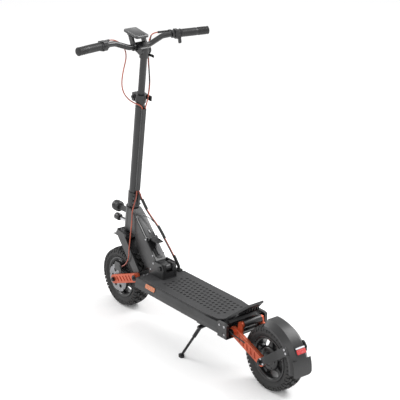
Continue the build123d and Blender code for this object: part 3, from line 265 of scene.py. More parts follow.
finishes = {name: coatPaint(name, **look) for name, look in coats.items()}
finishes["tyre"] = tyrePaint()
finishes["mat_rubber"] = matPaint()
finishes["orange_metal"] = orangePaint()
finishes["bright_steel"] = steelPaint("brightSteel", (0.62, 0.62, 0.64), 0.24)
finishes["controller_case"] = steelPaint("controllerCase", (0.5, 0.5, 0.52), 0.4)
# the amber parts are reflectors, no lamp: their 0.03 emission is a painted glow
finishes["amber_lens"] = lensPaint("amberLensPaintedGlow", (0.55, 0.14, 0.02), (0.26, 0.055, 0.008), 0.03)
finishes["red_lens"] = lensPaint("redLens", (0.62, 0.02, 0.02), (0.3, 0.006, 0.008), 0.12)
extraFinishes = {
    "clearLens": lensPaint("clearLens", (0.85, 0.86, 0.88), (0.45, 0.46, 0.5), 0.1),
    "greyPlate": coatPaint("greyPlate", colour=(0.05, 0.0505, 0.052), shade=(0.038, 0.038, 0.0395), rough=0.42,
                           spread=0.12, grain=1300, depth=0.0001, coat=0.05),
    "rotorSteel": steelPaint("rotorSteel", (0.3, 0.3, 0.31), 0.36),
}
nodeFinishes = {"front_rotor": extraFinishes["rotorSteel"], "hinge_pin": finishes["black_steel"]}
for node, cadObject in cadNodes.items():
    for materialSlot in cadObject.material_slots:
        materialSlot.material = nodeFinishes.get(node, finishes[finishOf[node]])
print("finishes made:", len(finishes) + len(extraFinishes))


# mesh helpers

def middle(node):
    low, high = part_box(node)
    return (Vector(low) + Vector(high)) / 2


def addObject(name, mesh, finish, rideOn=None, smoothAngle=35):
    piece = bpy.data.objects.new(name, mesh)
    bpy.context.scene.collection.objects.link(piece)
    material = finishes.get(finish) or extraFinishes[finish]
    mesh.materials.clear()
    mesh.materials.append(material)
    mesh.shade_smooth()
    mesh.set_sharp_from_angle(angle=math.radians(smoothAngle))
    if rideOn:
        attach(piece, rideOn)
    return piece


def toMesh(name, work, mergeAt=1e-6):
    bmesh.ops.remove_doubles(work, verts=work.verts, dist=mergeAt)
    bmesh.ops.recalc_face_normals(work, faces=work.faces)
    mesh = bpy.data.meshes.new(name)
    work.to_mesh(mesh)
    work.free()
    return mesh


def turned(work, profile, segments, place=None):
    # solid of revolution about the local z axis from (radius, height) points, poles closed
    place = place or Matrix.Identity(4)
    rings = []
    for radius, height in profile:
        if radius < 1e-7:
            rings.append([work.verts.new(place @ Vector((0, 0, height)))])
        else:
            rings.append([work.verts.new(place @ Vector((radius * math.cos(a), radius * math.sin(a), height)))
                          for a in (step * math.tau / segments for step in range(segments))])
    closed = len(rings[0]) > 1 and len(rings[-1]) > 1
    pairs = list(zip(rings, rings[1:])) + ([(rings[-1], rings[0])] if closed else [])
    for first, second in pairs:
        for i in range(segments):
            j = (i + 1) % segments
            corners = [first[i % len(first)], first[j % len(first)], second[j % len(second)], second[i % len(second)]]
            corners = list(dict.fromkeys(corners))
            if len(corners) > 2:
                work.faces.new(corners)


def slab(work, outline, thickness, place, bevel=0.0):
    # prism from a plan outline in the local xy plane, its edges eased
    lowRing = [work.verts.new(place @ Vector((x, y, 0))) for x, y in outline]
    highRing = [work.verts.new(place @ Vector((x, y, thickness))) for x, y in outline]
    faces = [work.faces.new(lowRing[::-1]), work.faces.new(highRing)]
    for i in range(len(outline)):
        j = (i + 1) % len(outline)
        faces.append(work.faces.new([lowRing[i], lowRing[j], highRing[j], highRing[i]]))
    if bevel:
        edges = list({edge for face in faces for edge in face.edges})
        bmesh.ops.bevel(work, geom=edges, offset=bevel, segments=2, affect="EDGES", profile=0.6)


def roundedBox(width, height, radius, steps=4):
    outline = []
    for turn, (sx, sy) in enumerate(((1, 1), (-1, 1), (-1, -1), (1, -1))):
        for step in range(steps + 1):
            angle = math.radians(90 * turn + 90 * step / steps)
            outline.append((sx * (width / 2 - radius) + radius * math.cos(angle),
                            sy * (height / 2 - radius) + radius * math.sin(angle)))
    return outline


def facing(origin, outward, up=(0, 0, 1)):
    # frame whose z points outward and whose y is as near up as it can be
    z = Vector(outward).normalized()
    x = Vector(up).cross(z).normalized()
    y = z.cross(x)
    return Matrix.Translation(origin) @ Matrix((x, y, z)).transposed().to_4x4()


# geometry-nodes helpers

def newGroup(name, inputs):
    group = bpy.data.node_groups.new(name, "GeometryNodeTree")
    group.interface.new_socket("Geometry", in_out="INPUT", socket_type="NodeSocketGeometry")
    for label, kind in inputs.items():
        group.interface.new_socket(label, in_out="INPUT", socket_type="NodeSocket" + kind)
    group.interface.new_socket("Geometry", in_out="OUTPUT", socket_type="NodeSocketGeometry")
    tree = Tree(group)
    source = group.nodes.new("NodeGroupInput")
    wires = {label: Wire(tree, source.outputs[label]) for label in ["Geometry", *inputs]}
    return group, tree, wires


def endGroup(group, tree, geometry, material):
    plain = tree.add("GeometryNodeRealizeInstances", {}, {0: geometry})
    coloured = tree.add("GeometryNodeSetMaterial", {}, {"Geometry": plain, "Material": material})
    target = group.nodes.new("NodeGroupOutput")
    group.links.new(coloured.socket, target.inputs[0])


def runGroup(name, mesh, group, values, finish, rideOn=None, smoothAngle=35):
    # runs the group on a mesh and gives back a plain finished piece
    carrier = bpy.data.objects.new(name + "Seed", mesh)
    bpy.context.scene.collection.objects.link(carrier)
    modifier = carrier.modifiers.new(group.name, "NODES")
    modifier.node_group = group
    values = {**values, "Material": finishes.get(finish) or extraFinishes[finish]}
    for item in group.interface.items_tree:
        if item.item_type == "SOCKET" and item.in_out == "INPUT" and item.name in values:
            modifier[item.identifier] = values[item.name]
    bpy.context.view_layer.update()
    result = bpy.data.meshes.new_from_object(carrier.evaluated_get(bpy.context.evaluated_depsgraph_get()))
    carrier.modifiers.remove(modifier)
    bpy.data.objects.remove(carrier)
    result.name = name
    return addObject(name, result, finish, rideOn, smoothAngle)


def ringGroup():
    # turns copies of the shape round an axis along Y through Centre
    group, tree, wires = newGroup("ringOfCopies", {"Count": "Int", "Phase": "Float", "Centre": "Vector",
                                                   "Material": "Material"})
    points = tree.add("GeometryNodePoints", {}, {"Count": wires["Count"]})
    index = tree.add("GeometryNodeInputIndex")
    angle = index * math.tau / wires["Count"] + wires["Phase"]
    turn = tree.add("ShaderNodeCombineXYZ", {}, {"Y": angle})
    copies = tree.add("GeometryNodeInstanceOnPoints", {},
                      {"Points": points, "Instance": wires["Geometry"], "Rotation": turn})
    moved = tree.add("GeometryNodeTransform", {}, {"Geometry": copies, "Translation": wires["Centre"]})
    endGroup(group, tree, moved, wires["Material"])
    return group


def screwGroup():
    # a socket-head screw on each vertex, pointing along the vertex's own direction
    group, tree, wires = newGroup("screwsOnPoints", {"Head": "Object", "Material": "Material"})
    head = tree.add("GeometryNodeObjectInfo", {}, {"Object": wires["Head"]}, "Geometry")
    way = tree.add("GeometryNodeInputNamedAttribute", {"data_type": "FLOAT_VECTOR"}, {"Name": "outward"})
    size = tree.add("GeometryNodeInputNamedAttribute", {"data_type": "FLOAT"}, {"Name": "headSize"})
    turn = tree.add("FunctionNodeAlignRotationToVector", {"axis": "Z"}, {"Vector": way})
    copies = tree.add("GeometryNodeInstanceOnPoints", {},
                      {"Points": wires["Geometry"], "Instance": head, "Rotation": turn, "Scale": size})
    endGroup(group, tree, copies, wires["Material"])
    return group


ringTree = ringGroup()
screwTree = screwGroup()


# studio: pale floor, soft lights and the camera

studio = {"floorSize": 60, "floorTone": 0.95, "lens": 114.45, "yaw": -37.732, "pitch": 20.035,
          "cameraPlace": (-3.6174, 2.7875, 2.2735), "skyTone": 1.0, "skyPower": 0.98}


def makeStudio():
    scene = bpy.context.scene
    scene.view_settings.view_transform = "Standard"
    scene.view_settings.look = "None"
    floor = bpy.data.objects.new("floor", bpy.data.meshes.new("floor"))
    half = studio["floorSize"] / 2
    corners = [(-half, -half, 0), (half, -half, 0), (half, half, 0), (-half, half, 0)]
    floor.data.from_pydata(corners, [], [(0, 1, 2, 3)])
    scene.collection.objects.link(floor)
    tone = studio["floorTone"]
    paint = Paint("floorPaper", Roughness=0.9, Base_Color=(tone, tone, tone, 1))
    paint.shader.inputs["Specular IOR Level"].default_value = 0.0
    floor.data.materials.append(paint.material)

    camera = bpy.data.objects.new("camera", bpy.data.cameras.new("camera"))
    camera.data.lens = studio["lens"]
    camera.location = studio["cameraPlace"]
    camera.rotation_euler = (math.radians(90 - studio["pitch"]), 0, math.radians(studio["yaw"] - 90))
    scene.collection.objects.link(camera)
    scene.camera = camera

    world = bpy.data.worlds.new("paleRoom")
    world.use_nodes = True
    world.node_tree.nodes["Background"].inputs["Color"].default_value = (studio["skyTone"],) * 3 + (1,)
    world.node_tree.nodes["Background"].inputs["Strength"].default_value = studio["skyPower"]
    scene.world = world
    lamps = {"keyLamp": ((-1.0, -3.0, 3.8), 2.2, 130), "sideLamp": ((-3.0, 3.4, 2.6), 2.4, 45),
             "rearLamp": ((3.4, 1.8, 3.0), 2.0, 70)}
    for name, (place, size, power) in lamps.items():
        lamp = bpy.data.objects.new(name, bpy.data.lights.new(name, "AREA"))
        lamp.data.shape = "DISK"
        lamp.data.size = size
        lamp.data.energy = power
        lamp.location = place
        lamp.rotation_euler = (Vector((0, 0, 0.4)) - Vector(place)).to_track_quat("-Z", "Y").to_euler()
        scene.collection.objects.link(lamp)


makeStudio()
print("studio ready")


# tyres: a smooth carcass with moulded knobs

tyre = {"outerRadius": 0.1275, "halfWidth": 0.0395, "seatRadius": 0.0842,
        "knobPitches": 24, "segments": 96}
knobs = [  # side offset, width, length along the roll, shift along the roll, lean
    (0.0075, 0.0135, 0.019, 0.0, 12), (-0.0075, 0.0135, 0.019, 0.0165, 12),
    (0.0225, 0.011, 0.018, 0.016, -18), (-0.0225, 0.011, 0.018, 0.0, -18)]


def crownHeight(side):
    # radius of the tread's outer skin at this distance from the middle
    return tyre["outerRadius"] - 0.0071 * (side / 0.0365) ** 2


def knobUnit():
    work = bmesh.new()
    for side, width, length, shift, lean in knobs:
        turn = Matrix.Rotation(math.radians(lean), 3, "Z")
        rings = []
        for grow, drop in ((1.0, 0.0105), (1.0, 0.0022), (0.86, 0.0)):
            ring = []
            for sx, sy in ((1, 1), (-1, 1), (-1, -1), (1, -1)):
                flat = turn @ Vector((sx * length / 2 * grow, sy * width / 2 * grow, 0))
                across = side + flat.y
                angle = (shift + flat.x) / tyre["outerRadius"]
                radius = crownHeight(across) - drop
                ring.append(work.verts.new((radius * math.sin(angle), across, radius * math.cos(angle))))
            rings.append(ring)
        work.faces.new(rings[-1])
        work.faces.new(rings[0][::-1])
        for low, high in zip(rings, rings[1:]):
            for i in range(4):
                work.faces.new([low[i], low[(i + 1) % 4], high[(i + 1) % 4], high[i]])
    for side in (1, -1):  # shoulder lugs run down the side, long and short in turn
        for shift, reach in ((0.004 if side > 0 else 0.0205, 0.107), (0.0205 if side > 0 else 0.004, 0.1115)):
            outline = [(0.0305, crownHeight(0.0305) - 0.010), (0.0305, crownHeight(0.0305)), (0.0365, 0.1204),
                       (0.0385, 0.1165), (0.03935, reach + 0.002), (0.0365, reach), (0.033, 0.108)]
            rings = []
            for edge in (-1, 1):
                angle = (shift + edge * 0.0062) / tyre["outerRadius"]
                rings.append([work.verts.new((r * math.sin(angle), side * y, r * math.cos(angle)))
                              for y, r in outline])
            work.faces.new(rings[0])
            work.faces.new(rings[1][::-1])
            for i in range(len(outline)):
                j = (i + 1) % len(outline)
                work.faces.new([rings[0][i], rings[0][j], rings[1][j], rings[1][i]])
    return toMesh("knobUnit", work, 1e-7)


def makeTyre(name, node, body):
    centre = middle(node)
    profile = [(0.0842, -0.0268), (0.0842, 0.0268), (0.0875, 0.0281), (0.0905, 0.0278), (0.093, 0.0302),
               (0.0985, 0.0352), (0.1, 0.0364), (0.1012, 0.0362), (0.1065, 0.0372), (0.111, 0.0362),
               (0.1152, 0.0335), (0.1172, 0.028), (0.1186, 0.016), (0.119, 0.0)]
    mirrored = [(r, -y) for r, y in reversed(profile[1:-1])]
    work = bmesh.new()
    upright = Matrix.Translation(centre) @ Matrix.Rotation(math.radians(90), 4, "X")
    turned(work, profile[1:] + mirrored, tyre["segments"], upright)
    carcass = addObject(name, toMesh(name, work), "tyre", body, smoothAngle=50)
    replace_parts(carcass, node)
    runGroup(name + "Knobs", knobUnit(), ringTree,
             {"Count": tyre["knobPitches"], "Phase": 0.05, "Centre": centre}, "tyre", body)


makeTyre("frontTyreSkin", "front_tyre", "front_wheel")
makeTyre("rearTyreSkin", "rear_tyre", "rear_wheel")
print("tyres done")


# wheels: cast rims with a drum hub

rim = {"seatRadius": 0.0838, "halfWidth": 0.031, "spokes": 5, "hubRadius": 0.047, "hubHalfWidth": 0.033,
       "boltCircle": 0.036, "segments": 72}


def spokeUnit():
    # a waisted spoke that widens into the hub and the barrel
    work = bmesh.new()
    rings = []
    for radius, halfWide, halfDeep in ((0.043, 0.016, 0.021), (0.05, 0.0115, 0.0165), (0.059, 0.009, 0.0125),
                                       (0.068, 0.0105, 0.012), (0.0765, 0.018, 0.015)):
        ring = []
        for x, y in roundedBox(2 * halfWide, 2 * halfDeep, 0.0045, 2):
            ring.append(work.verts.new((x, y, radius)))
        rings.append(ring)
    work.faces.new(rings[0])
    work.faces.new(rings[-1])
    for low, high in zip(rings, rings[1:]):
        for i in range(len(low)):
            j = (i + 1) % len(low)
            work.faces.new([low[i], low[j], high[j], high[i]])
    return toMesh("spokeUnit", work, 1e-7)


def makeRim(name, node, body, phase):
    centre = middle(node)
    upright = Matrix.Translation(centre) @ Matrix.Rotation(math.radians(90), 4, "X")
    seat, half = rim["seatRadius"], rim["halfWidth"]
    side = [(0.0742, 0.0), (0.0742, 0.018), (0.0762, 0.0245), (0.0795, 0.0265), (0.0812, 0.0295),
            (0.0845, half), (0.0868, half - 0.0003), (0.0875, half - 0.0016), (0.0868, half - 0.0029),
            (seat, half - 0.0031), (seat, 0.012), (seat - 0.004, 0.006)]
    barrel = side + [(r, -y) for r, y in reversed(side[1:])]
    work = bmesh.new()
    turned(work, barrel, rim["segments"], upright)
    wide = rim["hubHalfWidth"]
    drum = [(0.0063, 0.0), (0.0063, wide), (0.0155, wide), (0.0165, wide - 0.001), (0.017, wide - 0.0045),
            (0.0275, wide - 0.0055), (0.0285, wide - 0.0035), (0.0305, wide - 0.003), (0.0415, wide - 0.0045),
            (0.0445, wide - 0.007), (0.0462, wide - 0.011), (rim["hubRadius"], wide - 0.017),
            (rim["hubRadius"], 0.008), (0.0455, 0.006)]
    turned(work, drum + [(r, -y) for r, y in reversed(drum[1:])], rim["segments"], upright)
    shell = addObject(name, toMesh(name, work), "black_paint", body)
    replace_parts(shell, node)
    runGroup(name + "Spokes", spokeUnit(), ringTree,
             {"Count": rim["spokes"], "Phase": phase, "Centre": centre}, "black_paint", body)


makeRim("frontRimShell", "front_rim", "front_wheel", 0.35)
makeRim("rearRimShell", "rear_rim", "rear_wheel", 0.1)
print("rims done")


# screws, listed by the body that carries them

def headMesh():
    # button head with a hexagonal socket, unit radius
    work = bmesh.new()
    sides = 18
    rings = []
    for radius, height, corners in ((1.0, 0.0, sides), (1.0, 0.28, sides), (0.9, 0.5, sides), (0.68, 0.6, sides),
                                    (0.5, 0.6, 6), (0.48, 0.2, 6)):
        step = sides // 6 if corners == 6 else 1
        ring = []
        for i in range(sides):
            angle = (i // step * step if corners == 6 else i) * math.tau / sides
            shift = (i % step) / step if corners == 6 else 0
            here = Vector((math.cos(angle), math.sin(angle), 0))
            there = Vector((math.cos(angle + math.tau / 6), math.sin(angle + math.tau / 6), 0))
            flat = here.lerp(there, shift) * radius
            ring.append(work.verts.new((flat.x, flat.y, height)))
        rings.append(ring)
    for low, high in zip(rings, rings[1:]):
        for i in range(sides):
            j = (i + 1) % sides
            work.faces.new([low[i], low[j], high[j], high[i]])
    work.faces.new(rings[0][::-1])
    work.faces.new(rings[-1])
    return toMesh("screwHead", work, 1e-7)


screwHead = bpy.data.objects.new("screwHead", headMesh())
bpy.context.scene.collection.objects.link(screwHead)


def placeScrews(name, spots, finish, body):
    # spots: place, outward direction, head radius
    mesh = bpy.data.meshes.new(name)
    mesh.from_pydata([tuple(spot[0]) for spot in spots], [], [])
    mesh.attributes.new("outward", "FLOAT_VECTOR", "POINT")
    mesh.attributes.new("headSize", "FLOAT", "POINT")
    for index, (_, way, radius) in enumerate(spots):
        mesh.attributes["outward"].data[index].vector = way
        mesh.attributes["headSize"].data[index].value = radius
    return runGroup(name, mesh, screwTree, {"Head": screwHead}, finish, body, smoothAngle=30)


frontAxle, rearAxle = middle("front_axle"), middle("rear_axle")


def bothSides(spots):
    return [((x, s * y, z), (0, s, 0), r) for x, y, z, r in spots for s in (1, -1)]


stayFace = 0.0472
placeScrews("stayScrews", bothSides([
    (rearAxle.x - 0.106, stayFace, rearAxle.z + 0.084, 0.0046),
    (rearAxle.x - 0.114, stayFace, rearAxle.z + 0.072, 0.0046),
    (rearAxle.x - 0.004, 0.0702, rearAxle.z + 0.0135, 0.0042),
    (rearAxle.x - 0.0165, 0.0702, rearAxle.z - 0.002, 0.0042)]), "bright_steel", "rear_arm")
placeScrews("neckScrews", bothSides([(0.3095, 0.0271, 0.354, 0.0042), (0.262, 0.0271, 0.298, 0.0038)]),
            "bright_steel", "neck")
placeScrews("baseScrews", bothSides([(0.2675, 0.0351, 0.24, 0.0042), (0.2475, 0.0351, 0.272, 0.0042)]),
            "bright_steel", "deck")
hubScrewFace, hubScrewRadius = 0.029, 0.0028
hubScrews = [(frontAxle + Vector((rim["boltCircle"] * math.cos(a), side * hubScrewFace,
                                  rim["boltCircle"] * math.sin(a))), (0, side, 0), hubScrewRadius)
             for side in (1, -1) for a in (step * math.tau / 6 for step in range(6))]
placeScrews("frontHubScrews", hubScrews, "black_steel", "front_wheel")
placeScrews("rearHubScrews", [(spot + (rearAxle - frontAxle), way, r) for spot, way, r in hubScrews],
            "black_steel", "rear_wheel")
pivotFace = 0.0763
placeScrews("frontPivotScrews", bothSides([(0.3325, pivotFace, 0.1875, 0.0062)]), "black_steel", "steering")
placeScrews("rearPivotScrews", bothSides([(-0.3015, pivotFace, 0.1875, 0.0062)]), "black_steel", "deck")
bpy.data.objects.remove(screwHead)
print("screws done")


# deck mat: rubber sheet with staggered moulded wells

mat = {"wellRadius": 0.0062, "wellDepth": 0.0024, "rows": 6, "columns": 17, "rowPitch": 0.0205,
       "columnPitch": 0.0215, "centreX": -0.03}


def matGroup():
    # cuts a well at each point of a staggered grid
    group, tree, wires = newGroup("wellsInMat", {
        "Columns": "Int", "Rows": "Int", "Column Pitch": "Float", "Row Pitch": "Float", "Radius": "Float",
        "Depth": "Float", "Centre": "Vector", "Material": "Material"})
    total = wires["Columns"] * wires["Rows"]
    points = tree.add("GeometryNodePoints", {}, {"Count": total})
    index = tree.add("GeometryNodeInputIndex")
    row = (index / wires["Columns"]).maths("FLOOR")
    column = index - row * wires["Columns"]
    shift = row.maths("MODULO", 2.0) * 0.5 - 0.25
    x = (column + shift - (wires["Columns"] - 1) * 0.5) * wires["Column Pitch"]
    y = (row - (wires["Rows"] - 1) * 0.5) * wires["Row Pitch"]
    place = tree.add("ShaderNodeCombineXYZ", {}, {"X": x, "Y": y})
    laid = tree.add("GeometryNodeSetPosition", {}, {"Geometry": points, "Position": place})
    plug = tree.add("GeometryNodeMeshCylinder", {}, {"Vertices": 10, "Radius": wires["Radius"],
                                                     "Depth": wires["Depth"] * 2.0})
    plugs = tree.add("GeometryNodeInstanceOnPoints", {}, {"Points": laid, "Instance": plug})
    solid = tree.add("GeometryNodeRealizeInstances", {}, {0: plugs})
    moved = tree.add("GeometryNodeTransform", {}, {"Geometry": solid, "Translation": wires["Centre"]})
    cut = tree.add("GeometryNodeMeshBoolean", {"operation": "DIFFERENCE", "solver": "EXACT"},
                   {"Mesh 1": wires["Geometry"], "Mesh 2": moved})
    endGroup(group, tree, cut, wires["Material"])
    return group


def makeMat():
    low, high = (Vector(corner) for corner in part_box("deck_mat"))
    source = cadNodes["deck_mat"].data
    work = bmesh.new()
    work.from_mesh(source)
    bmesh.ops.remove_doubles(work, verts=work.verts, dist=1e-5)
    bmesh.ops.recalc_face_normals(work, faces=work.faces)
    bmesh.ops.dissolve_limit(work, angle_limit=0.01, verts=work.verts, edges=work.edges)
    sheet = bpy.data.meshes.new("matSheet")
    work.to_mesh(sheet)
    work.free()
    cover = runGroup("matCover", sheet, matGroup(), {
        "Columns": mat["columns"], "Rows": mat["rows"], "Column Pitch": mat["columnPitch"],
        "Row Pitch": mat["rowPitch"], "Radius": mat["wellRadius"], "Depth": mat["wellDepth"],
        "Centre": Vector((mat["centreX"], 0, high.z))}, "mat_rubber", "deck")
    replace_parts(cover, "deck_mat")


makeMat()
print("deck mat done")


# cables: smooth lines through the frame's own routes

steerJoint = next(joint for joint in frame["joints"] if joint["name"] == "steer")
steerAxis = Vector(steerJoint["axis"]).normalized()
steerFoot = Vector(steerJoint["pos_m"]) - steerAxis * (steerJoint["pos_m"][2] / steerAxis.z)
steerForward = Vector((steerAxis.z, 0, -steerAxis.x))


def steerSpot(along, forward=0.0, side=0.0):
    # metres up the steering axis from the ground, forward of it and to the left
    return steerFoot + steerAxis * along + steerForward * forward + Vector((0, side, 0))


barMiddle = steerSpot(1.1474, 0.034)
barBend = barMiddle + Vector((-0.003, 0.152, 0.027))
barOut = (barMiddle + Vector((-0.04, 0.3045, 0.029)) - barBend).normalized()
barForward = barOut.cross(Vector((0, 0, 1))).normalized()


def barSpot(out, up=0.0, ahead=0.0, side=1):
    spot = barBend + barOut * out + Vector((0, 0, up)) + barForward * ahead
    return Vector((spot.x, side * spot.y, spot.z))


cable = {"radius": 0.0025, "sleeveRadius": 0.0062, "ductMiddle": -0.025, "ductSide": 0.005, "ductLow": 0.546,
         "ductHigh": 0.905, "barrelOut": -0.044, "barrelUp": 0.0052, "barrelAhead": 0.032}


def inDuct(along, side):
    return steerSpot(along, cable["ductMiddle"], side * cable["ductSide"])


def besideBarrel(side, beyond):
    return barSpot(cable["barrelOut"] - beyond, cable["barrelUp"], cable["barrelAhead"], side)


def millimetres(*points):
    return [Vector(point) / 1000 for point in points]


leftLoop = [besideBarrel(1, 0.0001), besideBarrel(1, 0.022)] + millimetres(
    (408, 66, 1156), (400, 47, 1128), (402, 41, 1094), (414, 44, 1056), (424, 48, 1014), (426, 50, 976),
    (415, 48, 947), (396, 43, 930), (378, 38, 921), (361, 31, 915), (349, 17, 909)) + [
    inDuct(cable["ductHigh"] + 0.002, 1), inDuct(cable["ductHigh"] - 0.015, 1)]
rightLoop = [besideBarrel(-1, 0.0001), besideBarrel(-1, 0.024)] + millimetres(
    (407, -73, 1149), (393, -58, 1120), (377, -46, 1086), (364, -38, 1048), (352, -34, 1014), (340, -25, 984),
    (333, -14, 951), (336, -8, 919)) + [
    inDuct(cable["ductHigh"] - 0.002, -1), inDuct(cable["ductHigh"] - 0.02, -1)]
brakeRoute = [inDuct(cable["ductLow"] + 0.018, 1), inDuct(cable["ductLow"] - 0.003, 1)] + millimetres(
    (391.5, 12, 513), (392, 24, 482), (396, 33, 450), (394, 36, 408), (400, 38, 366), (397, 45, 328),
    (390, 56, 292), (388, 58.5, 260), (402, 59, 232), (428, 55, 207)) + [frontAxle + Vector((-0.0362, 0.047, 0.065))]
deckRouteUpper = [inDuct(cable["ductLow"] + 0.018, -1), inDuct(cable["ductLow"] - 0.003, -1)] + millimetres(
    (391.5, -8, 513), (381, -13, 488), (366, -22, 454), (346, -30, 428), (320, -36, 405), (300, -42, 380),
    (281, -48, 350))
deckRouteLower = millimetres((300, -42, 380), (281, -48, 350), (262, -54, 322), (245, -59, 296), (233, -68, 266),
                             (228, -78, 236))
motorRoute = millimetres((-284, 80, 196), (-300, 81, 190), (-326, 80, 184), (-352, 76, 180), (-378, 72.5, 172))


def splineOf(name, route, radius):
    curve = bpy.data.curves.new(name, "CURVE")
    curve.dimensions = "3D"
    curve.resolution_u = 6
    curve.bevel_depth = radius
    curve.bevel_resolution = 4
    curve.use_fill_caps = True
    spline = curve.splines.new("NURBS")
    spline.points.add(len(route) - 1)
    for point, place in zip(spline.points, route):
        point.co = (*place, 1)
    spline.order_u = 3
    spline.use_endpoint_u = True
    return curve


def linePoints(route):
    # points along the smooth line itself
    curve = splineOf("routeLine", route, 0.0)
    carrier = bpy.data.objects.new("routeLine", curve)
    bpy.context.scene.collection.objects.link(carrier)
    bpy.context.view_layer.update()
    mesh = bpy.data.meshes.new_from_object(carrier.evaluated_get(bpy.context.evaluated_depsgraph_get()))
    points = [vertex.co.copy() for vertex in mesh.vertices]
    bpy.data.objects.remove(carrier)
    return points


def makeCable(name, route, finish, radius=None, bodies=None, span=None, rideOn=None, nodes=()):
    carrier = bpy.data.objects.new(name + "Line", splineOf(name, route, radius or cable["radius"]))
    bpy.context.scene.collection.objects.link(carrier)
    bpy.context.view_layer.update()
    mesh = bpy.data.meshes.new_from_object(carrier.evaluated_get(bpy.context.evaluated_depsgraph_get()))
    bpy.data.objects.remove(carrier)
    mesh.name = name
    piece = addObject(name, mesh, finish, rideOn, smoothAngle=60)
    if bodies:
        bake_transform(piece)
    if nodes:
        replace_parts(piece, *nodes)
    return piece


def makeSleeve(name, route, low, high, finish, radius=None, **kept):
    # a moulded sleeve on part of a cable's line, given as shares of the line
    points = linePoints(route)
    first, last = int(low * (len(points) - 1)), int(high * (len(points) - 1))
    part = points[first:last + 1]
    step = max(1, (len(part) - 1) // 5)
    return makeCable(name, part[::step] + ([part[-1]] if (len(part) - 1) % step else []), finish,
                     radius or cable["sleeveRadius"], **kept)


loopSpan = (Vector((0, 0, 1.14)), Vector((0, 0, 0.92)))
makeCable("leftCableLoop", leftLoop, "orange_sleeve", bodies=("upper_stem", "steering"), span=loopSpan,
          nodes=["bar_cables"])
makeCable("rightCableLoop", rightLoop, "orange_sleeve", bodies=("upper_stem", "steering"), span=loopSpan)
brakeSpan = (Vector((0.39, 0, 0.33)), Vector((0.44, 0, 0.2)))
makeCable("frontBrakeLine", brakeRoute, "orange_sleeve", bodies=("steering", "front_arm"), span=brakeSpan,
          nodes=["front_brake_cable"])
upperSpan = (Vector((0.395, 0, 0.54)), Vector((0.33, 0, 0.42)))
lowerSpan = (Vector((0.285, 0, 0.352)), Vector((0.232, 0, 0.25)))
makeCable("deckLineUpper", deckRouteUpper, "orange_sleeve", bodies=("steering", "neck"), span=upperSpan,
          nodes=["deck_cable"])
makeCable("deckLineLower", deckRouteLower, "orange_sleeve", bodies=("neck", "deck"), span=lowerSpan)
makeCable("rearMotorLine", motorRoute, "black_plastic", bodies=("deck", "rear_arm"),
          span=(Vector((-0.29, 0, 0)), Vector((-0.37, 0, 0))), nodes=["rear_cable"])
makeSleeve("rightLoopCover", rightLoop, 0.1, 0.8, "black_plastic", radius=0.003,
           bodies=("upper_stem", "steering"), span=loopSpan)
besideLine = Vector((0.0012, 0.0046, 0.0012))
makeCable("deckTwinUpper", [spot + besideLine for spot in deckRouteUpper[1:]], "black_plastic",
          bodies=("steering", "neck"), span=upperSpan)
makeCable("deckTwinLower", [spot + besideLine for spot in deckRouteLower], "black_plastic",
          bodies=("neck", "deck"), span=lowerSpan)
makeSleeve("upperSleeve", deckRouteUpper, 0.3, 0.5, "soft_black", bodies=("steering", "neck"), span=upperSpan)
makeSleeve("middleSleeve", deckRouteUpper, 0.84, 1.0, "soft_black", rideOn="neck")
makeSleeve("glandSleeve", deckRouteLower, 0.74, 1.0, "soft_black", radius=0.0064, bodies=("neck", "deck"),
           span=lowerSpan)
print("cables done")


# neck: plates on its sloping rear face, with a window in the upper one

neckFace = {"outward": (-0.7262, 0, 0.6876), "upper": (0.3475, 0, 0.394), "upperSize": (0.036, 0.092),
            "lower": (0.2625, 0, 0.3042), "lowerSize": (0.026, 0.044), "window": (0.3275, -0.005, 0.3728),
            "windowSize": (0.015, 0.021), "thickness": 0.0025}


def plate(name, spot, outward, size, thickness, finish, body, corner=0.004, shift=(0, 0, 0),
          bevel=0.0006):
    # rounded plate standing on a face at spot
    work = bmesh.new()
    place = facing(Vector(spot), outward) @ Matrix.Translation(shift)
    slab(work, roundedBox(*size, corner), thickness, place, bevel)
    return addObject(name, toMesh(name, work), finish, body)


plate("neckPlateUpper", neckFace["upper"], neckFace["outward"], neckFace["upperSize"], neckFace["thickness"],
      "greyPlate", "neck")
plate("neckPlateLower", neckFace["lower"], neckFace["outward"], neckFace["lowerSize"], neckFace["thickness"],
      "greyPlate", "neck", corner=0.003)
plate("neckWindow", neckFace["window"], neckFace["outward"], neckFace["windowSize"], 0.0031, "gloss_black", "neck",
      corner=0.002, bevel=0.0003)
makeCable("neckWire", millimetres((373, -4, 431), (362, -9, 433), (346, -20, 426), (331, -29, 411)), "soft_black",
          radius=0.0015, rideOn="neck")
print("neck plates done")


# lamps and horn

lamp = {"segments": 44, "glassRadius": 0.0165, "rimRadius": 0.0212, "fins": 3, "finPitch": 0.0058, "finReach": 0.0231}


def spin(name, profiles, place, finish, body, smoothAngle=35):
    work = bmesh.new()
    for profile in profiles:
        turned(work, profile, lamp["segments"], place)
    return addObject(name, toMesh(name, work, 1e-7), finish, body, smoothAngle)


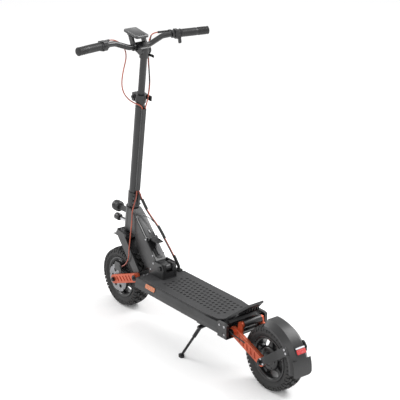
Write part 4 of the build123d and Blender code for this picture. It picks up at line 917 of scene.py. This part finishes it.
def makeHeadlamp():
    place = facing(Vector((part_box("headlight")[1][0], 0, 0.426)), (1, 0, 0))
    glass, rimOut = lamp["glassRadius"], lamp["rimRadius"]
    spin("headlightGlass", [[(0, 0.0022), (0.008, 0.002), (0.0135, 0.0011), (glass, 0.0001), (glass, -0.001),
                             (0, -0.001)]], place, "clearLens", "neck", 60)
    bezel = [(glass, -0.001), (glass, 0.0018), (0.0178, 0.0026), (0.0196, 0.0022), (rimOut, 0.0002),
             (rimOut, -0.001)]
    fins = []
    for step in range(lamp["fins"]):
        low = -0.0255 + step * lamp["finPitch"]
        fins.append([(0.0216, low), (lamp["finReach"], low + 0.0008), (lamp["finReach"], low + 0.002),
                     (0.0216, low + 0.0028)])
    spin("headlightBezel", [bezel] + fins, place, "black_plastic", "neck")
    horn = facing(Vector((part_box("horn")[1][0], 0, 0.378)), (1, 0, 0))
    grille = [[(0, 0.0016), (0.0032, 0.0014), (0.0034, -0.0004), (0, -0.0004)]]
    for inner in (0.0052, 0.0088, 0.0122):
        grille.append([(inner, -0.0004), (inner, 0.0012), (inner + 0.0007, 0.0017), (inner + 0.0015, 0.0012),
                       (inner + 0.0015, -0.0004)])
    spin("hornGrille", grille, horn, "black_steel", "neck")
    for side in (1, -1):
        plate("hornStrap" + ("Left" if side > 0 else "Right"), (0.497, side * 0.005, 0.378), (0, side, 0),
              (0.05, 0.009), 0.0012, "bright_steel", "neck", corner=0.002, bevel=0.0003)


makeHeadlamp()

tailLamp = {"angle": 149, "reach": 0.1557, "housing": (0.045, 0.03), "lens": (0.041, 0.0185),
            "strip": (0.041, 0.0058)}


def makeTailLamp():
    turn = math.radians(tailLamp["angle"])
    outward = Vector((math.cos(turn), 0, math.sin(turn)))
    spot = Vector((rearAxle.x - 0.003, 0, rearAxle.z - 0.001)) + outward * tailLamp["reach"]
    plate("tailHousing", spot, outward, tailLamp["housing"], 0.0062, "black_plastic", "rear_arm", corner=0.0035,
          bevel=0.0007)
    lens = plate("tailLens", spot, outward, tailLamp["lens"], 0.0042, "red_lens", "rear_arm", corner=0.0025,
                 shift=(0, -0.0042, 0.0058), bevel=0.0009)
    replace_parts(lens, "tail_light")
    plate("tailStrip", spot, outward, tailLamp["strip"], 0.0036, "clearLens", "rear_arm",
          corner=0.0018, shift=(0, 0.0092, 0.0058), bevel=0.0006)


makeTailLamp()

flap = {"from": 161, "to": 186, "halfWidth": 0.0425, "outer": 0.1553, "thickness": 0.0022, "corner": 0.014,
        "rows": 22}


def makeFenderFlap():
    # flat mudguard plate below the tail lamp, its lower corners rounded
    centre = Vector((rearAxle.x - 0.003, 0, rearAxle.z - 0.001))
    work = bmesh.new()
    rings = []
    for row in range(flap["rows"] + 1):
        share = row / flap["rows"]
        angle = math.radians(flap["from"] + (flap["to"] - flap["from"]) * share)
        left = (1 - share) * math.radians(flap["to"] - flap["from"]) * flap["outer"]
        cut = max(0.0, 1 - left / flap["corner"])
        half = flap["halfWidth"] - flap["corner"] * (1 - math.sqrt(max(0.0, 1 - cut * cut)))
        outward = Vector((math.cos(angle), 0, math.sin(angle)))
        ring = []
        inner = flap["outer"] - flap["thickness"]
        for radius, side in ((flap["outer"], half), (flap["outer"], -half), (inner, -half), (inner, half)):
            ring.append(work.verts.new(centre + outward * radius + Vector((0, side, 0))))
        rings.append(ring)
    work.faces.new(rings[0])
    work.faces.new(rings[-1])
    for low, high in zip(rings, rings[1:]):
        for i in range(4):
            j = (i + 1) % 4
            work.faces.new([low[i], low[j], high[j], high[i]])
    addObject("fenderFlap", toMesh("fenderFlap", work, 1e-7), "black_plastic", "rear_arm")


makeFenderFlap()
print("lamps done")


# grips: ribbed sleeves with raised pads towards the ends

grip = {"start": 0.0359, "end": 0.1597, "radius": 0.0158, "ribPitch": 0.0042, "ribHeight": 0.0005,
        "ribbedTo": 0.104, "padRows": 6, "padsRound": 9, "segments": 40}


def makeGrip(name, side):
    way = Vector((barOut.x, side * barOut.y, barOut.z))
    place = facing(barSpot(0, side=side), way)
    start, end, radius = grip["start"], grip["end"], grip["radius"]
    profile = [(0, start), (0.017, start), (0.0185, start + 0.0008), (0.0185, start + 0.0032),
               (0.0172, start + 0.0042), (radius, start + 0.005)]
    along = start + 0.008
    while along < grip["ribbedTo"]:
        profile += [(radius, along), (radius + grip["ribHeight"], along + 0.0008),
                    (radius + grip["ribHeight"], along + 0.0022), (radius, along + 0.003)]
        along += grip["ribPitch"]
    profile += [(radius, along + 0.002), (0.0153, along + 0.005), (0.0153, end - 0.009), (0.016, end - 0.006),
                (0.0168, end - 0.004), (0.0168, end - 0.0016), (0.0155, end - 0.0003), (0.006, end), (0, end)]
    work = bmesh.new()
    turned(work, profile, grip["segments"], place)
    sleeve = addObject(name, toMesh(name, work, 1e-7), "grip_rubber", "upper_stem", smoothAngle=45)
    pads = bmesh.new()
    for row in range(grip["padRows"]):
        for step in range(grip["padsRound"]):
            angle = (step + row % 2 / 2) * math.tau / grip["padsRound"]
            outward = (place.to_3x3() @ Vector((math.cos(angle), math.sin(angle), 0)))
            spot = place @ Vector((0, 0, along + 0.009 + row * 0.0062)) + outward * 0.0149
            slab(pads, [(0.0044, 0), (0, 0.0033), (-0.0044, 0), (0, -0.0033)], 0.0013,
                 facing(spot, outward, way), 0.0003)
    addObject(name + "Pads", toMesh(name + "Pads", pads, 1e-7), "grip_rubber", "upper_stem")
    return sleeve


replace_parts(makeGrip("leftGripSleeve", 1), "grips")
makeGrip("rightGripSleeve", -1)
print("grips done")


# display face: a screen and a row of keys below it

displayFace = {"tilt": 10, "ahead": 0.022, "above": 0.042, "lift": 0.0109,
               "screen": (0.066, 0.046), "screenShift": 0.006, "key": (0.006, 0.0075),
               "keyShift": -0.036, "keyPitch": 0.011}


def makeDisplayFace():
    turn = math.radians(displayFace["tilt"])
    outward = Vector((-math.sin(turn), 0, math.cos(turn)))
    spot = Vector((barMiddle.x + displayFace["ahead"], 0, barMiddle.z + displayFace["above"]))
    spot += outward * displayFace["lift"]
    along = Vector((math.cos(turn), 0, math.sin(turn)))
    work = bmesh.new()
    slab(work, roundedBox(*displayFace["screen"], 0.004), 0.0005,
         Matrix.Translation(spot + along * displayFace["screenShift"]) @ Matrix.Rotation(-turn, 4, "Y"), 0.0001)
    addObject("displayScreen", toMesh("displayScreen", work, 1e-7), "gloss_black", "upper_stem")
    work = bmesh.new()
    for step in (-1, 0, 1):
        place = spot + along * displayFace["keyShift"] + Vector((0, step * displayFace["keyPitch"], 0))
        slab(work, roundedBox(*displayFace["key"], 0.0022), 0.0009,
             Matrix.Translation(place) @ Matrix.Rotation(-turn, 4, "Y"), 0.0002)
    addObject("displayKeys", toMesh("displayKeys", work, 1e-7), "soft_black", "upper_stem")


makeDisplayFace()
